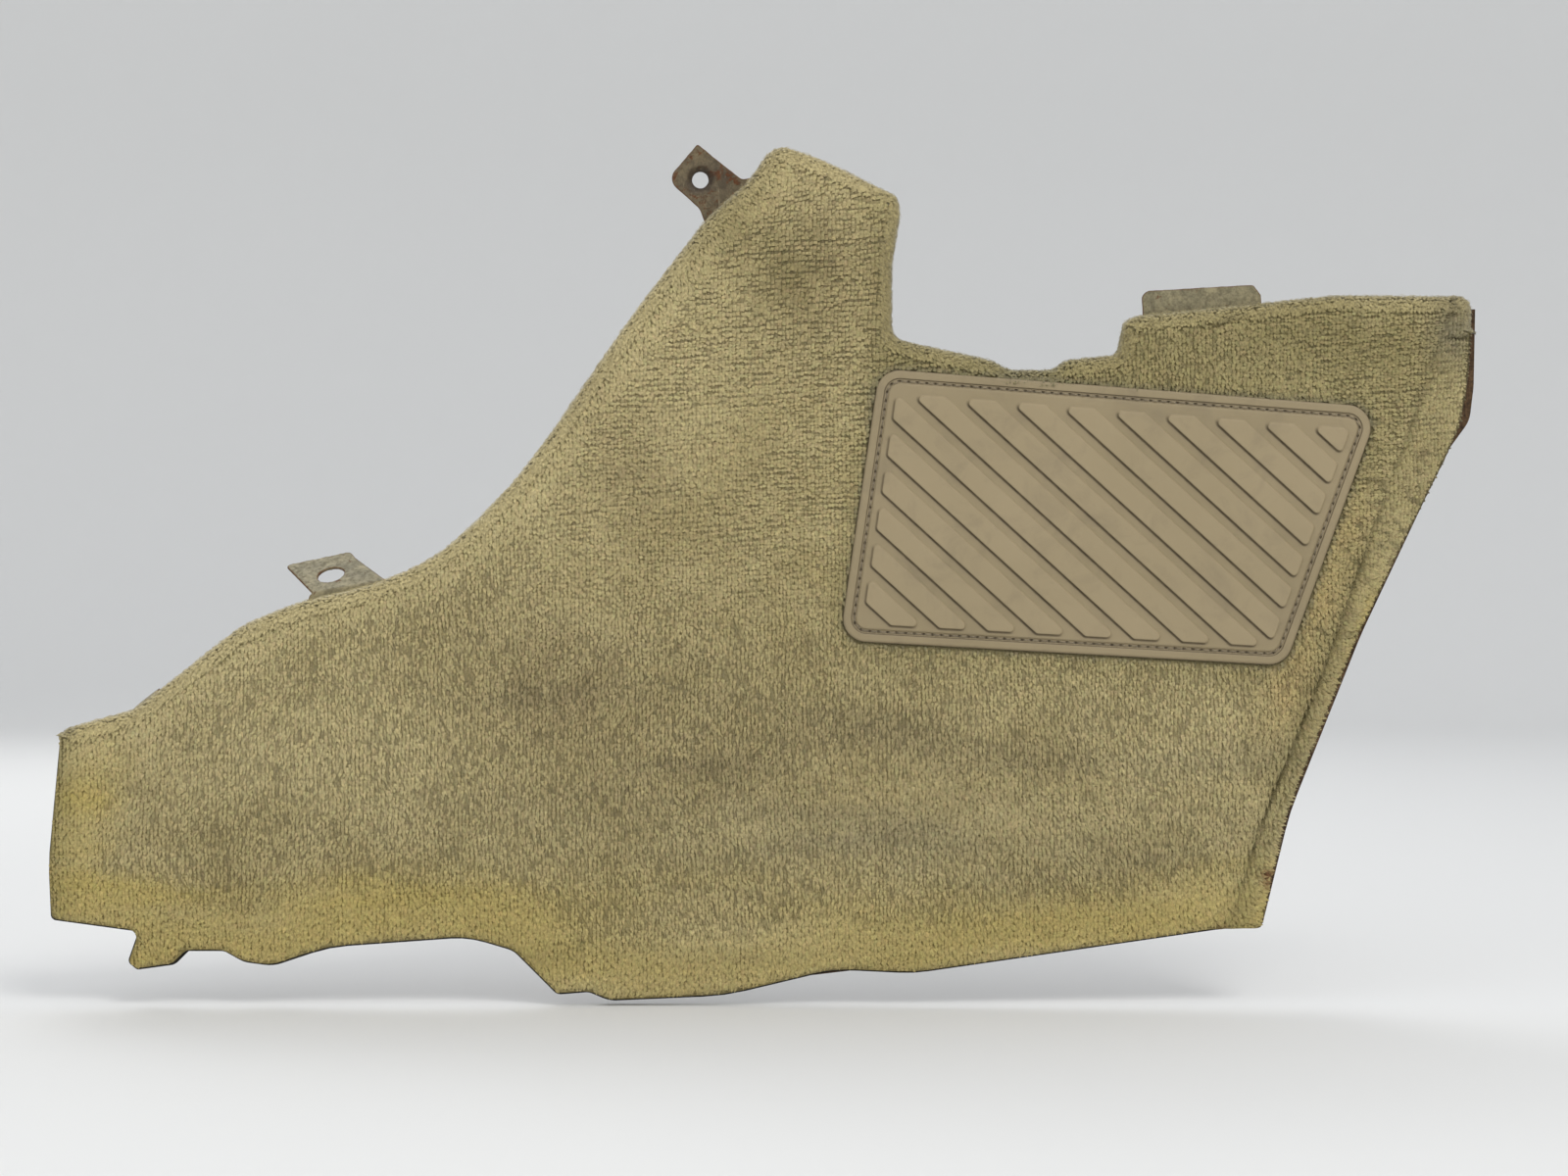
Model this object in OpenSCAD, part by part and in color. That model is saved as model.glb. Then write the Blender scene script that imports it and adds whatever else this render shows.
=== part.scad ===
// Carpeted footwell side trim panel with a sewn-on heel pad and steel fixing tabs.
// Millimetres. +X runs along the panel to its front end, +Z is up and the carpet faces -Y.
// The origin is the centre of the upper tab's hole, at the back rim of its dimple. The plane
// y = 0 is where the tab meets the car body, so the board stands a dimple's depth in front.

/* [Layers] */
// Thickness of the pressed fibre board
board_t = 2.5; // [2:0.1:4]
// Thickness of the black heavy layer bonded under the carpet
heavy_t = 2; // [1.8:0.1:3]
// Thickness of the carpet with its pile
carpet_t = 6; // [4:0.5:9]
// Thickness of the rolled carpet that covers the board's upper edges
roll_t = 5.5; // [3:0.5:7]
// Thickness of the carpet hem glued to the back of the board
hem_t = 4.5; // [2:0.5:6]
// Angle by which the front flange is bent back
flange_angle = 11; // [0:1:25]

/* [Heel pad] */
// Thickness of the pad below its ribs
pad_t = 3; // [2:0.1:4]
// Depth to which the pad is pressed into the pile
pad_sink = 2.4; // [0.5:0.1:3]
// Radius of the pad's corners
pad_corner_r = 9.5; // [7:0.5:14]
// Height of the ribs above the pad
rib_h = 1.3; // [0.5:0.1:2.5]
// Distance from one rib to the next, across the ribs
rib_pitch = 12.3; // [9:0.1:18]
// Width of the groove between two ribs
rib_gap = 3.4; // [2:0.1:6]
// Angle by which the ribs run down towards the front
rib_slope = 42.4; // [20:0.1:70]
// How far the ribs are shifted across their own direction
rib_shift = 3.8; // [-6:0.1:6]
// Distance from the pad's edge to the ribs
rib_margin = 8.1; // [7:0.1:14]
// Distance from the pad's edge to the stitches
stitch_inset = 4.5; // [3:0.1:6]
// Width of the channel that the stitches lie in
channel_w = 2.1; // [1.2:0.1:3]
// Depth of that channel
channel_d = 0.7; // [0.4:0.1:1.2]
// Distance from one needle hole to the next
stitch_pitch = 3.6; // [2.5:0.1:6]
// Thickness of the thread
thread_d = 0.6; // [0.3:0.1:0.9]

/* [Tabs] */
// Thickness of the tabs' sheet steel
tab_t = 1.2; // [0.8:0.1:2]
// Radius of the upper tab's hole
upper_hole_r = 3.3; // [2:0.1:4]
// Radius of the dimple round the upper tab's hole
dimple_r = 5.6; // [5:0.1:7]
// Depth of that dimple
dimple_d = 1.8; // [1:0.1:3]
// Radius of the lower tab's hole
lower_hole_r = 5.5; // [3:0.1:6]
// Angle by which the lower tab is bent back
lower_bend = 58; // [0:1:90]
// Angle by which the rear tab is bent back
rear_bend = 82; // [0:1:90]

/* [Fasteners and felt] */
// Radius of a rivet's shank
rivet_r = 2; // [1.5:0.1:2.5]
// Radius of a rivet's head
rivet_head_r = 4.2; // [3.5:0.1:5]
// Outer radius of the washer under a rivet's clenched end
washer_r = 5.5; // [4.5:0.1:6]
// Thickness of that washer
washer_t = 0.8; // [0.5:0.1:1]
// Length of a hem staple's crown
staple_w = 10; // [6:1:14]
// Width of the staple wire
wire = 0.9; // [0.6:0.1:1.2]
// Thickness of the felt pads
felt_t = 5; // [3:0.5:8]

/* [Hidden] */
$fn = 48;

// Depths of the layers, from the back to the front
y_back = -(dimple_d + tab_t);
y_board = y_back - board_t;
y_heavy = y_board - heavy_t;
y_pile = y_heavy - carpet_t;
y_pad_back = y_pile + pad_sink;
y_pad = y_pad_back - pad_t;
y_tab = y_back + tab_t;
y_hem = y_back + hem_t;
y_felt = y_back + felt_t;
clear = 0.1;    // play round what passes through a layer
seam = 0.02;    // overlap that joins the flange to its panel
step = 8;       // largest turn, in degrees, between two points of a rounded corner
far = 700;      // longer than the panel
tab_room = 0.5; // play round a tab's foot in the hem
relief_depth = 0.5; // how far the hem's relief cuts go into the roll
rib_offset = [-0.35, -1.15]; // the ribs sit a little towards the pad's lower rear corner

// Corners of the outlines, clockwise seen from the carpet side, as [x, z, corner radius].
// The edge that the carpet is rolled over, from the tail to the front upper corner
rolled_edge = [[-227, -214, 12], [-184, -180, 60], [-159, -170, 100], [-131, -164, 100],
    [-106, -153, 70], [-83, -132, 150], [-66, -112, 200], [-26, -54, 300], [4.5, -14.5, 60],
    [20, -1.5, 30], [27.5, 10, 8], [33, 12.5, 6], [48, 7.5, 60], [79, -7.5, 4],
    [80.5, -14, 8], [77, -34.5, 40], [77, -62, 3], [80, -65.5, 5], [117, -73.5, 15],
    [124, -77.5, 10], [142.5, -77.5, 6], [147, -73.5, 6], [168, -71.5, 3],
    [171, -57.5, 3], [177, -55.5, 15], [256.5, -47.5, 60]];
// The board's cut front edge, downwards
board_front = [[314.5, -47.5, 6], [314.5, -84, 20], [313, -98, 12], [304, -110, 15],
    [268.5, -184, 100], [239.5, -256, 100], [228.5, -302, 2]];
// The carpet's cut front edge, which leaves a strip of the board bare
carpet_front = [[311.5, -48, 6], [309.5, -83, 20], [306.5, -100, 15], [300, -114, 20],
    [265, -184, 100], [236, -256, 100], [226, -302, 1.5]];
// The cut lower edge, from the front to the tail, with a flap and a notch near the tail
lower_edge = [[207, -301.5, 60], [86, -319, 60], [54, -317.5, 60], [10, -328, 90],
    [-36, -330, 12], [-44.5, -326.5, 6], [-57, -327.5, 3], [-74.5, -310, 10],
    [-93, -304.5, 40], [-149, -308.5, 60], [-171.5, -316, 14], [-183, -314.5, 10],
    [-191, -310, 6], [-206, -310, 2], [-211.5, -315.5, 3], [-226, -317.5, 1.5],
    [-229, -315, 1.5], [-225.5, -305, 1], [-227, -302, 1], [-260, -297.5, 1.5],
    [-261, -275.5, 60], [-256, -222, 4]];
// The board's lower edge, which is hidden behind the carpet
board_lower = [[207, -299, 60], [86, -316, 60], [10, -325, 90], [-54, -323, 6],
    [-76, -305, 12], [-149, -302, 60], [-190, -302, 40], [-258, -294, 3],
    [-258.5, -276, 60], [-253, -229, 3]];
// The hem's inner edge on the back of the board
hem_inner = [[-216, -236, 12], [-176, -206, 40], [-126, -187, 40], [-92, -166, 40],
    [-48, -108, 60], [6, -36, 10], [34, -14, 10], [55, -22, 6], [51, -62, 10],
    [60, -90, 8], [120, -99, 8], [188, -97, 8], [196, -79, 6], [256, -69, 40]];
// Points beyond the panel that close the rolled edge and the hem into a full outline
rolled_close = [[340, -47.5, 1], [340, -350, 1], [-290, -350, 1], [-290, -231.4, 1]];
hem_close = [[340, -69, 1], [340, -350, 1], [-290, -350, 1], [-290, -256.4, 1]];

// Heel pad corners, clockwise from the upper rear one
pad_corners = [[72, -77], [272.5, -92.5], [234.5, -196], [56, -186]];
// The fold line between the panel and its front flange
fold_low = [219, -290];
fold_high = [285.5, -98];
fold_dir = atan2(fold_high.y - fold_low.y, fold_high.x - fold_low.x);

// Tabs: the place and turn of each, then corners in its own plane as [across, out, radius]
upper_turn = 51;
upper_strap = [[-8.3, 10.4, 5], [10.5, 9.8, 0.8], [10.6, -13, 2], [15, -17, 3],
    [18, -40, 4], [-18, -40, 4], [-15, -17, 4], [-9.3, -7.2, 6]];
upper_rivets = [[-10, -31], [10, -31]];
lower_at = [-156.7, -167.5];
lower_turn = 10;
lower_tongue = [[0, 0, 0.5], [-12, 25, 1.5], [15, 27, 3], [17.5, 21, 5], [30, 0, 0.5]];
lower_foot = [[-1, 0, 0.5], [31, 0, 0.5], [35, -10, 4], [35, -33, 4], [-5, -33, 4],
    [-5, -10, 4]];
lower_hole_at = [7.5, 11];
lower_rivets = [[5, -25], [25, -25]];
front_at = [179, -55];
front_turn = 3;
front_plate = [[-0.3, 10, 3.5], [44.9, 10.2, 1.5], [47.9, 5.8, 1.5], [47.9, -6, 2],
    [49, -34, 4], [-1, -34, 4], [-0.3, -6, 2]];
front_rivets = [[9, -26], [39, -26]];
rear_at = [-224.2, -211.9];
rear_turn = 38;
rear_tongue = [[-6.5, 0, 0.5], [-6.5, 16.5, 6], [6.5, 16.5, 6], [6.5, 0, 0.5]];
rear_foot = [[-6.5, 0, 0.5], [6.5, 0, 0.5], [10, -9, 3], [10, -29, 4], [-10, -29, 4],
    [-10, -9, 3]];
rear_rivets = [[0, -21]];

// Staples as [x, z, turn of the crown]
hem_staple_places = [[-204, -213, 38], [-186, -198, 40], [-116, -171, 24], [-86, -147, 46],
    [-63, -120, 52], [-41, -87, 55], [-17, -55, 54], [46, -7, -22], [66, -24, -78],
    [64, -52, -90], [80, -82, -12], [108, -88, -12], [136, -90, 0], [164, -86, 5],
    [246, -59, 4], [272, -58, 0]];
relief_cuts = [[31, 14, -90, 16], [80, -8, -130, 18], [77.5, -64, 225, 14],
    [168, -73, -60, 16], [172, -57, -50, 16], [-92, -139, -60, 14], [3, -15, -45, 16]];
relief_w = 5;
edge_staple_at = [226.6, -281];
edge_staple_w = 5;
edge_staple_turn = 72;

// Felt pads on the back, as corners [x, z, radius]
main_felt_corners = [[-20, -110, 10], [18, -66, 10], [40, -112, 12], [196, -124, 12],
    [206, -230, 12], [176, -284, 14], [-30, -300, 14], [-64, -220, 12]];
tail_felt_corners = [[-236, -252, 8], [-160, -222, 10], [-96, -206, 10], [-92, -278, 10],
    [-236, -284, 8]];
front_felt_corners = [[212, -106, 8], [268, -106, 8], [236, -198, 8], [214, -190, 8]];

// ---- outline functions -------------------------------------------------------------

function flat(c) = [c[0], c[1]];
function unit(v) = v / norm(v);
function right_of(v) = [v[1], -v[0]];
function cross2(a, b) = a[0] * b[1] - a[1] * b[0];
function turned(v, a) = [v[0] * cos(a) - v[1] * sin(a), v[0] * sin(a) + v[1] * cos(a)];

// The arc that rounds corner p between its neighbours a and b
function corner_arc(a, p, b, r) =
    let (u = unit(p - a), w = unit(b - p), turn = acos(max(-1, min(1, u * w))))
    turn < 0.5 || r <= 0 ? [p] :
    let (side = cross2(u, w) < 0 ? 1 : -1,
        start = p - u * r * tan(turn / 2),
        centre = start + right_of(u) * r * side,
        count = ceil(turn / step))
    [for (i = [0 : count]) centre + turned(start - centre, -side * turn * i / count)];

// A full outline from corners [x, z, radius]
function rounded(corners) =
    let (n = len(corners))
    [for (i = [0 : n - 1])
        each corner_arc(flat(corners[(i + n - 1) % n]), flat(corners[i]),
            flat(corners[(i + 1) % n]), corners[i][2])];

// The same corners, all edges moved inwards by d
function inset(corners, d) =
    let (n = len(corners))
    [for (i = [0 : n - 1])
        let (p = flat(corners[i]),
            u = unit(p - flat(corners[(i + n - 1) % n])),
            w = unit(flat(corners[(i + 1) % n]) - p),
            q = p + (right_of(u) + right_of(w)) * d / (1 + u * w),
            r = cross2(u, w) < 0 ? max(0.3, corners[i][2] - d) : corners[i][2] + d)
        [q[0], q[1], r]];

// How far each point of a closed path lies along it
function distances(path) =
    let (n = len(path))
    [for (i = 0, s = 0; i <= n;
        s = s + norm(path[(i + 1) % n] - path[i % n]), i = i + 1) s];

// The point and direction at distance s along a closed path
function along(path, sums, s) =
    let (n = len(path),
        i = max([for (k = [0 : n - 1]) if (sums[k] <= s) k]),
        d = path[(i + 1) % n] - path[i])
    [path[i] + unit(d) * (s - sums[i]), atan2(d[1], d[0])];

carpet_outline = rounded(concat(rolled_edge, carpet_front, lower_edge));
rolled_core = rounded(inset(concat(rolled_edge, rolled_close), roll_t));
board_outline = rounded(concat(board_front, board_lower, [[-253, -216, 3]], rolled_edge));
heavy_outline = rounded(concat([[311, -47.5, 6]], [for (c = carpet_front) if (c != carpet_front[0]) c],
    inset(lower_edge, -0.9), rolled_edge));
hem_outline = rounded(concat(hem_inner, hem_close));
pad_base = [for (c = pad_corners) [c[0], c[1], pad_corner_r]];
stitch_path = rounded(inset(pad_base, stitch_inset));
stitch_sums = distances(stitch_path);
stitch_length = stitch_sums[len(stitch_path)];
stitches = round(stitch_length / stitch_pitch);

// ---- shared shapes ---------------------------------------------------------------

// An outline given in x and z, as a plate from y = front to y = back
module plate(points, front, back) {
    translate([0, back, 0])
        rotate([90, 0, 0])
            linear_extrude(back - front)
                polygon(points);
}

// A round bar along Y
module pin(x, z, r, front, back) {
    translate([x, back, z])
        rotate([90, 0, 0])
            cylinder(r = r, h = back - front);
}

// Puts children drawn about the origin on the fold line, with +X along it
module on_fold() {
    translate([fold_low.x, y_pile, fold_low.y])
        rotate([0, -fold_dir, 0])
            children();
}

module off_fold() {
    rotate([0, fold_dir, 0])
        translate([-fold_low.x, -y_pile, -fold_low.y])
            children();
}

// Bends children back about the fold line
module bent_back() {
    on_fold()
        rotate([flange_angle, 0, 0])
            off_fold()
                children();
}

// The space behind the fold line, cut at the mitre where panel and flange meet
module panel_side() {
    on_fold()
        rotate([flange_angle / 2, 0, 0])
            translate([-far, -far, -seam])
                cube(2 * far);
}

// The space in front of the fold line, before the flange is bent
module flange_side() {
    on_fold()
        rotate([-flange_angle / 2, 0, 0])
            translate([-far, -far, seam - 2 * far])
                cube(2 * far);
}

// Children as a flat panel, with the part in front of the fold line bent back
module folded() {
    union() {
        intersection() {
            children();
            panel_side();
        }
        bent_back()
            intersection() {
                children();
                flange_side();
            }
    }
}

// Moves children from a tab's own plane, drawn in x and z, to its place
module placed(at, turn) {
    translate([at.x, 0, at.y])
        rotate([0, -turn, 0])
            children();
}

// A tab's tongue, bent back about its root line, with a round outer bend
module bent_tongue(corners, bend) {
    first = corners[0];
    last = corners[len(corners) - 1];
    translate([0, y_tab, 0])
        rotate([-bend, 0, 0]) {
            plate(rounded(corners), -tab_t, 0);
            children();
        }
    translate([first[0], y_tab, 0])
        rotate([0, 90, 0])
            cylinder(r = tab_t, h = last[0] - first[0]);
}

// Holes for rivets through a plate between two depths
module rivet_holes(places, front, back, r) {
    for (p = places)
        pin(p[0], p[1], r, front - 1, back + 1);
}

// Rivets with a domed head on the tab and a clenched end on the washer
module rivets(places) {
    reach = tab_t + board_t + washer_t;
    head = 1.5;
    clench = 0.9;
    profile = [[0, -head], [rivet_head_r * 0.55, -head * 0.85], [rivet_head_r * 0.9, -head * 0.35],
        [rivet_head_r, 0], [rivet_r, 0], [rivet_r, reach], [rivet_r * 1.6, reach],
        [rivet_r * 1.4, reach + clench], [0, reach + clench]];
    for (p = places)
        translate([p[0], y_tab, p[1]])
            rotate([90, 0, 0])
                rotate_extrude()
                    polygon(profile);
}

module washers(places) {
    for (p = places)
        difference() {
            pin(p[0], p[1], washer_r, y_board - washer_t, y_board);
            pin(p[0], p[1], rivet_r + clear, y_board - washer_t - 1, y_board + 1);
        }
}

// Room for the washers and rivet ends in the heavy layer
module washer_wells(places) {
    for (p = places)
        pin(p[0], p[1], washer_r + clear, y_heavy - 1, y_board + 1);
}

module each_tab_place(what) {
    placed([0, 0], upper_turn) place_tools(what, upper_rivets);
    placed(lower_at, lower_turn) place_tools(what, lower_rivets);
    placed(front_at, front_turn) place_tools(what, front_rivets);
    placed(rear_at, rear_turn) place_tools(what, rear_rivets);
}

module place_tools(what, places) {
    if (what == "holes") rivet_holes(places, y_board, y_back, rivet_r + clear);
    if (what == "wells") washer_wells(places);
}

// What is cut out of the roll and the hem, so that the tabs' feet lie on the board
module tab_slots() {
    placed([0, 0], upper_turn)
        plate(rounded(inset(upper_strap, -tab_room)), y_back - 0.3, y_hem + 1);
    placed(lower_at, lower_turn)
        plate(rounded(inset(lower_foot, -tab_room)), y_back - 0.3, y_hem + 1);
    placed(front_at, front_turn)
        plate(rounded(inset(front_plate, -tab_room)), y_back - 0.3, y_hem + 1);
    placed(rear_at, rear_turn)
        plate(rounded(inset(rear_foot, -tab_room)), y_back - 0.3, y_hem + 1);
}

// Staple legs, as boxes about the crown's middle, with room round them
module legs(w, front, back, room) {
    for (side = [-1, 1])
        translate([side * (w - wire) / 2 - wire / 2 - room, front, -wire / 2 - room])
            cube([wire + 2 * room, back - front, wire + 2 * room]);
}

module at_staple(p) {
    translate([p[0], 0, p[1]])
        rotate([0, -p[2], 0])
            children();
}

module on_flange(at, turn) {
    bent_back()
        at_staple([at.x, at.y, turn])
            children();
}

// Stitches in a row round the pad, each a short bar along the path
module stitch_row(y, length) {
    for (k = [0 : stitches - 1]) {
        place = along(stitch_path, stitch_sums, (k + 0.5) * stitch_length / stitches);
        translate([place[0][0], y, place[0][1]])
            rotate([0, 90 - place[1], 0])
                cylinder(d = thread_d, h = length, center = true, $fn = 16);
    }
}

// ---- the parts -------------------------------------------------------------------

module backing_board() {
    color("saddlebrown")
        folded()
            difference() {
                intersection() {
                    plate(board_outline, y_board, y_back);
                    plate(rolled_core, y_board - 1, y_back + 1);
                }
                each_tab_place("holes");
                for (p = hem_staple_places)
                    at_staple(p) legs(staple_w, y_board - 1, y_back + 1, clear);
                at_staple([edge_staple_at.x, edge_staple_at.y, edge_staple_turn])
                    legs(edge_staple_w, y_board - 1, y_back + 1, clear);
            }
}

module heavy_layer() {
    groove_w = thread_d + 2 * clear;
    color("#1c1c1c")
        folded()
            difference() {
                intersection() {
                    plate(heavy_outline, y_heavy, y_board);
                    plate(rolled_core, y_heavy - 1, y_board + 1);
                }
                each_tab_place("wells");
                difference() {
                    plate(rounded(inset(pad_base, stitch_inset - groove_w)), y_board - groove_w, y_board + 1);
                    plate(rounded(inset(pad_base, stitch_inset + groove_w)), y_board - groove_w - 1, y_board + 2);
                }
                for (p = hem_staple_places)
                    at_staple(p) legs(staple_w, y_board - 0.6, y_board + 1, clear);
                at_staple([edge_staple_at.x, edge_staple_at.y, edge_staple_turn])
                    legs(edge_staple_w, y_heavy - 1, y_board + 1, clear);
            }
}

module carpet() {
    color("#a99a66")
        folded()
            difference() {
                plate(carpet_outline, y_pile, y_hem);
                plate(rolled_core, y_heavy, y_back);
                plate(hem_outline, y_heavy, y_hem + 1);
                plate(rounded(inset(pad_base, -0.4)), y_pile - 1, y_pad_back);
                tab_slots();
                for (c = relief_cuts)
                    translate([c[0], y_hem + 1, c[1]])
                        rotate([0, -c[2], 0])
                            rotate([90, 0, 0])
                                linear_extrude(hem_t + 1 + relief_depth)
                                    polygon([[-1, -relief_w / 6], [c[3] + 14, -relief_w / 2 - 1],
                                        [c[3] + 14, relief_w / 2 + 1], [-1, relief_w / 6]]);
                for (p = hem_staple_places)
                    at_staple(p) legs(staple_w, y_back - 1, y_hem + 1, clear);
                at_staple([edge_staple_at.x, edge_staple_at.y, edge_staple_turn]) {
                    legs(edge_staple_w, y_pile - 1, y_heavy + 1, clear);
                    translate([-edge_staple_w / 2 - clear, y_pile - 1, -wire / 2 - clear])
                        cube([edge_staple_w + 2 * clear, 2 + wire, wire + 2 * clear]);
                }
            }
}

module heel_pad() {
    outer_lip = stitch_inset - channel_w / 2;
    inner_lip = stitch_inset + channel_w / 2;
    middle = (pad_corners[0] + pad_corners[1] + pad_corners[2] + pad_corners[3]) / 4;
    reach = 260;
    ribs = 9;
    color("#a69878")
        union() {
            difference() {
                plate(rounded(pad_base), y_pad, y_pad_back);
                difference() {
                    plate(rounded(inset(pad_base, outer_lip)), y_pad - 1, y_pad + channel_d);
                    plate(rounded(inset(pad_base, inner_lip)), y_pad - 2, y_pad + channel_d + 1);
                }
            }
            intersection() {
                translate([rib_offset.x, 0, rib_offset.y])
                    plate(rounded(inset(pad_base, rib_margin)), y_pad - rib_h, y_pad + 1);
                for (k = [-ribs : ribs])
                    translate([middle.x, y_pad - rib_h, middle.y])
                        rotate([0, rib_slope, 0])
                            translate([-reach / 2, 0,
                                (k - 0.5) * rib_pitch + rib_gap / 2 + rib_shift])
                                cube([reach, rib_h + 0.5, rib_pitch - rib_gap]);
            }
        }
}

module heel_pad_thread() {
    color("#4a3a28")
        stitch_row(y_pad + channel_d - thread_d / 2, stitch_pitch * 0.74);
}

module heel_pad_bobbin_thread() {
    color("#4a3a28")
        stitch_row(y_board - thread_d / 2 - clear, stitch_pitch * 0.8);
}

module upper_tab() {
    slope = (dimple_r - upper_hole_r) / dimple_d;
    profile = [[upper_hole_r, -tab_t], [dimple_r, y_back], [dimple_r + 2, y_back],
        [dimple_r + 2, y_tab], [dimple_r + tab_t * 0.5, y_tab],
        [upper_hole_r + tab_t * 0.5 + tab_t * slope * 0.3, 0], [upper_hole_r, 0]];
    color("#8a8062")
        placed([0, 0], upper_turn)
            union() {
                difference() {
                    plate(rounded(upper_strap), y_back, y_tab);
                    pin(0, 0, dimple_r + 1.5, y_back - 1, y_tab + 1);
                    rivet_holes(upper_rivets, y_back, y_tab, rivet_r + clear);
                }
                rotate([90, 0, 0])
                    rotate_extrude()
                        polygon([for (p = profile) [p[0], -p[1]]]);
            }
}

module lower_tab() {
    color("#8a8062")
        placed(lower_at, lower_turn)
            difference() {
                union() {
                    plate(rounded(lower_foot), y_back, y_tab);
                    bent_tongue(lower_tongue, lower_bend);
                }
                translate([0, y_tab, 0])
                    rotate([-lower_bend, 0, 0])
                        pin(lower_hole_at.x, lower_hole_at.y, lower_hole_r, -tab_t - 1, 1);
                rivet_holes(lower_rivets, y_back, y_tab, rivet_r + clear);
            }
}

module front_tab() {
    color("#8a8062")
        placed(front_at, front_turn)
            difference() {
                plate(rounded(front_plate), y_back, y_tab);
                rivet_holes(front_rivets, y_back, y_tab, rivet_r + clear);
            }
}

module rear_tab() {
    color("#8a8062")
        placed(rear_at, rear_turn)
            difference() {
                union() {
                    plate(rounded(rear_foot), y_back, y_tab);
                    bent_tongue(rear_tongue, rear_bend);
                }
                rivet_holes(rear_rivets, y_back, y_tab, rivet_r + clear);
            }
}

module upper_tab_rivets() {
    color("#6d6a62") placed([0, 0], upper_turn) rivets(upper_rivets);
}

module upper_tab_washers() {
    color("#7a776e") placed([0, 0], upper_turn) washers(upper_rivets);
}

module lower_tab_rivets() {
    color("#6d6a62") placed(lower_at, lower_turn) rivets(lower_rivets);
}

module lower_tab_washers() {
    color("#7a776e") placed(lower_at, lower_turn) washers(lower_rivets);
}

module front_tab_rivets() {
    color("#6d6a62") placed(front_at, front_turn) rivets(front_rivets);
}

module front_tab_washers() {
    color("#7a776e") placed(front_at, front_turn) washers(front_rivets);
}

module rear_tab_rivets() {
    color("#6d6a62") placed(rear_at, rear_turn) rivets(rear_rivets);
}

module rear_tab_washers() {
    color("#7a776e") placed(rear_at, rear_turn) washers(rear_rivets);
}

module hem_staples() {
    color("#8f8f8c")
        for (p = hem_staple_places)
            at_staple(p)
                union() {
                    translate([-staple_w / 2, y_hem, -wire / 2])
                        cube([staple_w, wire * 0.6, wire]);
                    legs(staple_w, y_board - 0.4, y_hem + wire * 0.3, 0);
                }
}

module edge_staple() {
    crown = y_pile + 1;
    color("#5b3320")
        on_flange(edge_staple_at, edge_staple_turn)
            union() {
                translate([-edge_staple_w / 2, crown, -wire / 2])
                    cube([edge_staple_w, wire, wire]);
                legs(edge_staple_w, crown, y_back + 1, 0);
            }
}

module felt(corners) {
    color("#5d5a52")
        plate(rounded(corners), y_back, y_felt);
}

module main_felt() {
    felt(main_felt_corners);
}

module tail_felt() {
    felt(tail_felt_corners);
}

module front_felt() {
    felt(front_felt_corners);
}

backing_board();
heavy_layer();
carpet();
heel_pad();
heel_pad_thread();
heel_pad_bobbin_thread();
upper_tab();
upper_tab_rivets();
upper_tab_washers();
lower_tab();
lower_tab_rivets();
lower_tab_washers();
front_tab();
front_tab_rivets();
front_tab_washers();
rear_tab();
rear_tab_rivets();
rear_tab_washers();
hem_staples();
edge_staple();
main_felt();
tail_felt();
front_felt();
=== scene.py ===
"""Looks of the carpeted footwell side trim panel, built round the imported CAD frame.

Lengths in this script are in millimetres in the row's frame until a mesh is made, which is
in metres. The carpet faces -Y. The outline's corners repeat part.scad's.
"""

import math

import bmesh
import bpy
import numpy as np
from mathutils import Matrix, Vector, geometry


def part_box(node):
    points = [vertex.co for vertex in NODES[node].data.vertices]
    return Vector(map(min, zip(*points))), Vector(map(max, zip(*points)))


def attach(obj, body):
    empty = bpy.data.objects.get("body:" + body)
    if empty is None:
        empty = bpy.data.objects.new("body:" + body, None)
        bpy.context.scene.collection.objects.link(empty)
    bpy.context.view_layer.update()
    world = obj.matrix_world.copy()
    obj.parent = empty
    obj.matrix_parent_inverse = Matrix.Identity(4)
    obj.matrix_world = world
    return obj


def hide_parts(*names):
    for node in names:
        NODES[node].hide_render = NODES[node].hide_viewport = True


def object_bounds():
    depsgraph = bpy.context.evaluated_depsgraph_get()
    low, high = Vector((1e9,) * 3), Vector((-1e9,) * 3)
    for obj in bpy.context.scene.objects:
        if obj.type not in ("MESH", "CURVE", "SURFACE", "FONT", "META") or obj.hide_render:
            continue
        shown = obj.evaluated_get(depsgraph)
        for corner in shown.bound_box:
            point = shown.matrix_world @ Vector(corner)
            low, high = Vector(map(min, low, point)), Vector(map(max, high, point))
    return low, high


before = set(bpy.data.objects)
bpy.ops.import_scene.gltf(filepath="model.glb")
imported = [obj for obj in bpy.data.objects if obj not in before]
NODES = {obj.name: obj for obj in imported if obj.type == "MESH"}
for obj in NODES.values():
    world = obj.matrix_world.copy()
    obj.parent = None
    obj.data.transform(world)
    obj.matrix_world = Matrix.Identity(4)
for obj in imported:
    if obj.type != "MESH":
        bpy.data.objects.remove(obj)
CAD_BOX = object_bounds()
MM = 0.001
TAU = 2 * math.pi

# ---- the part's own numbers, as in part.scad ------------------------------------------

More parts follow.
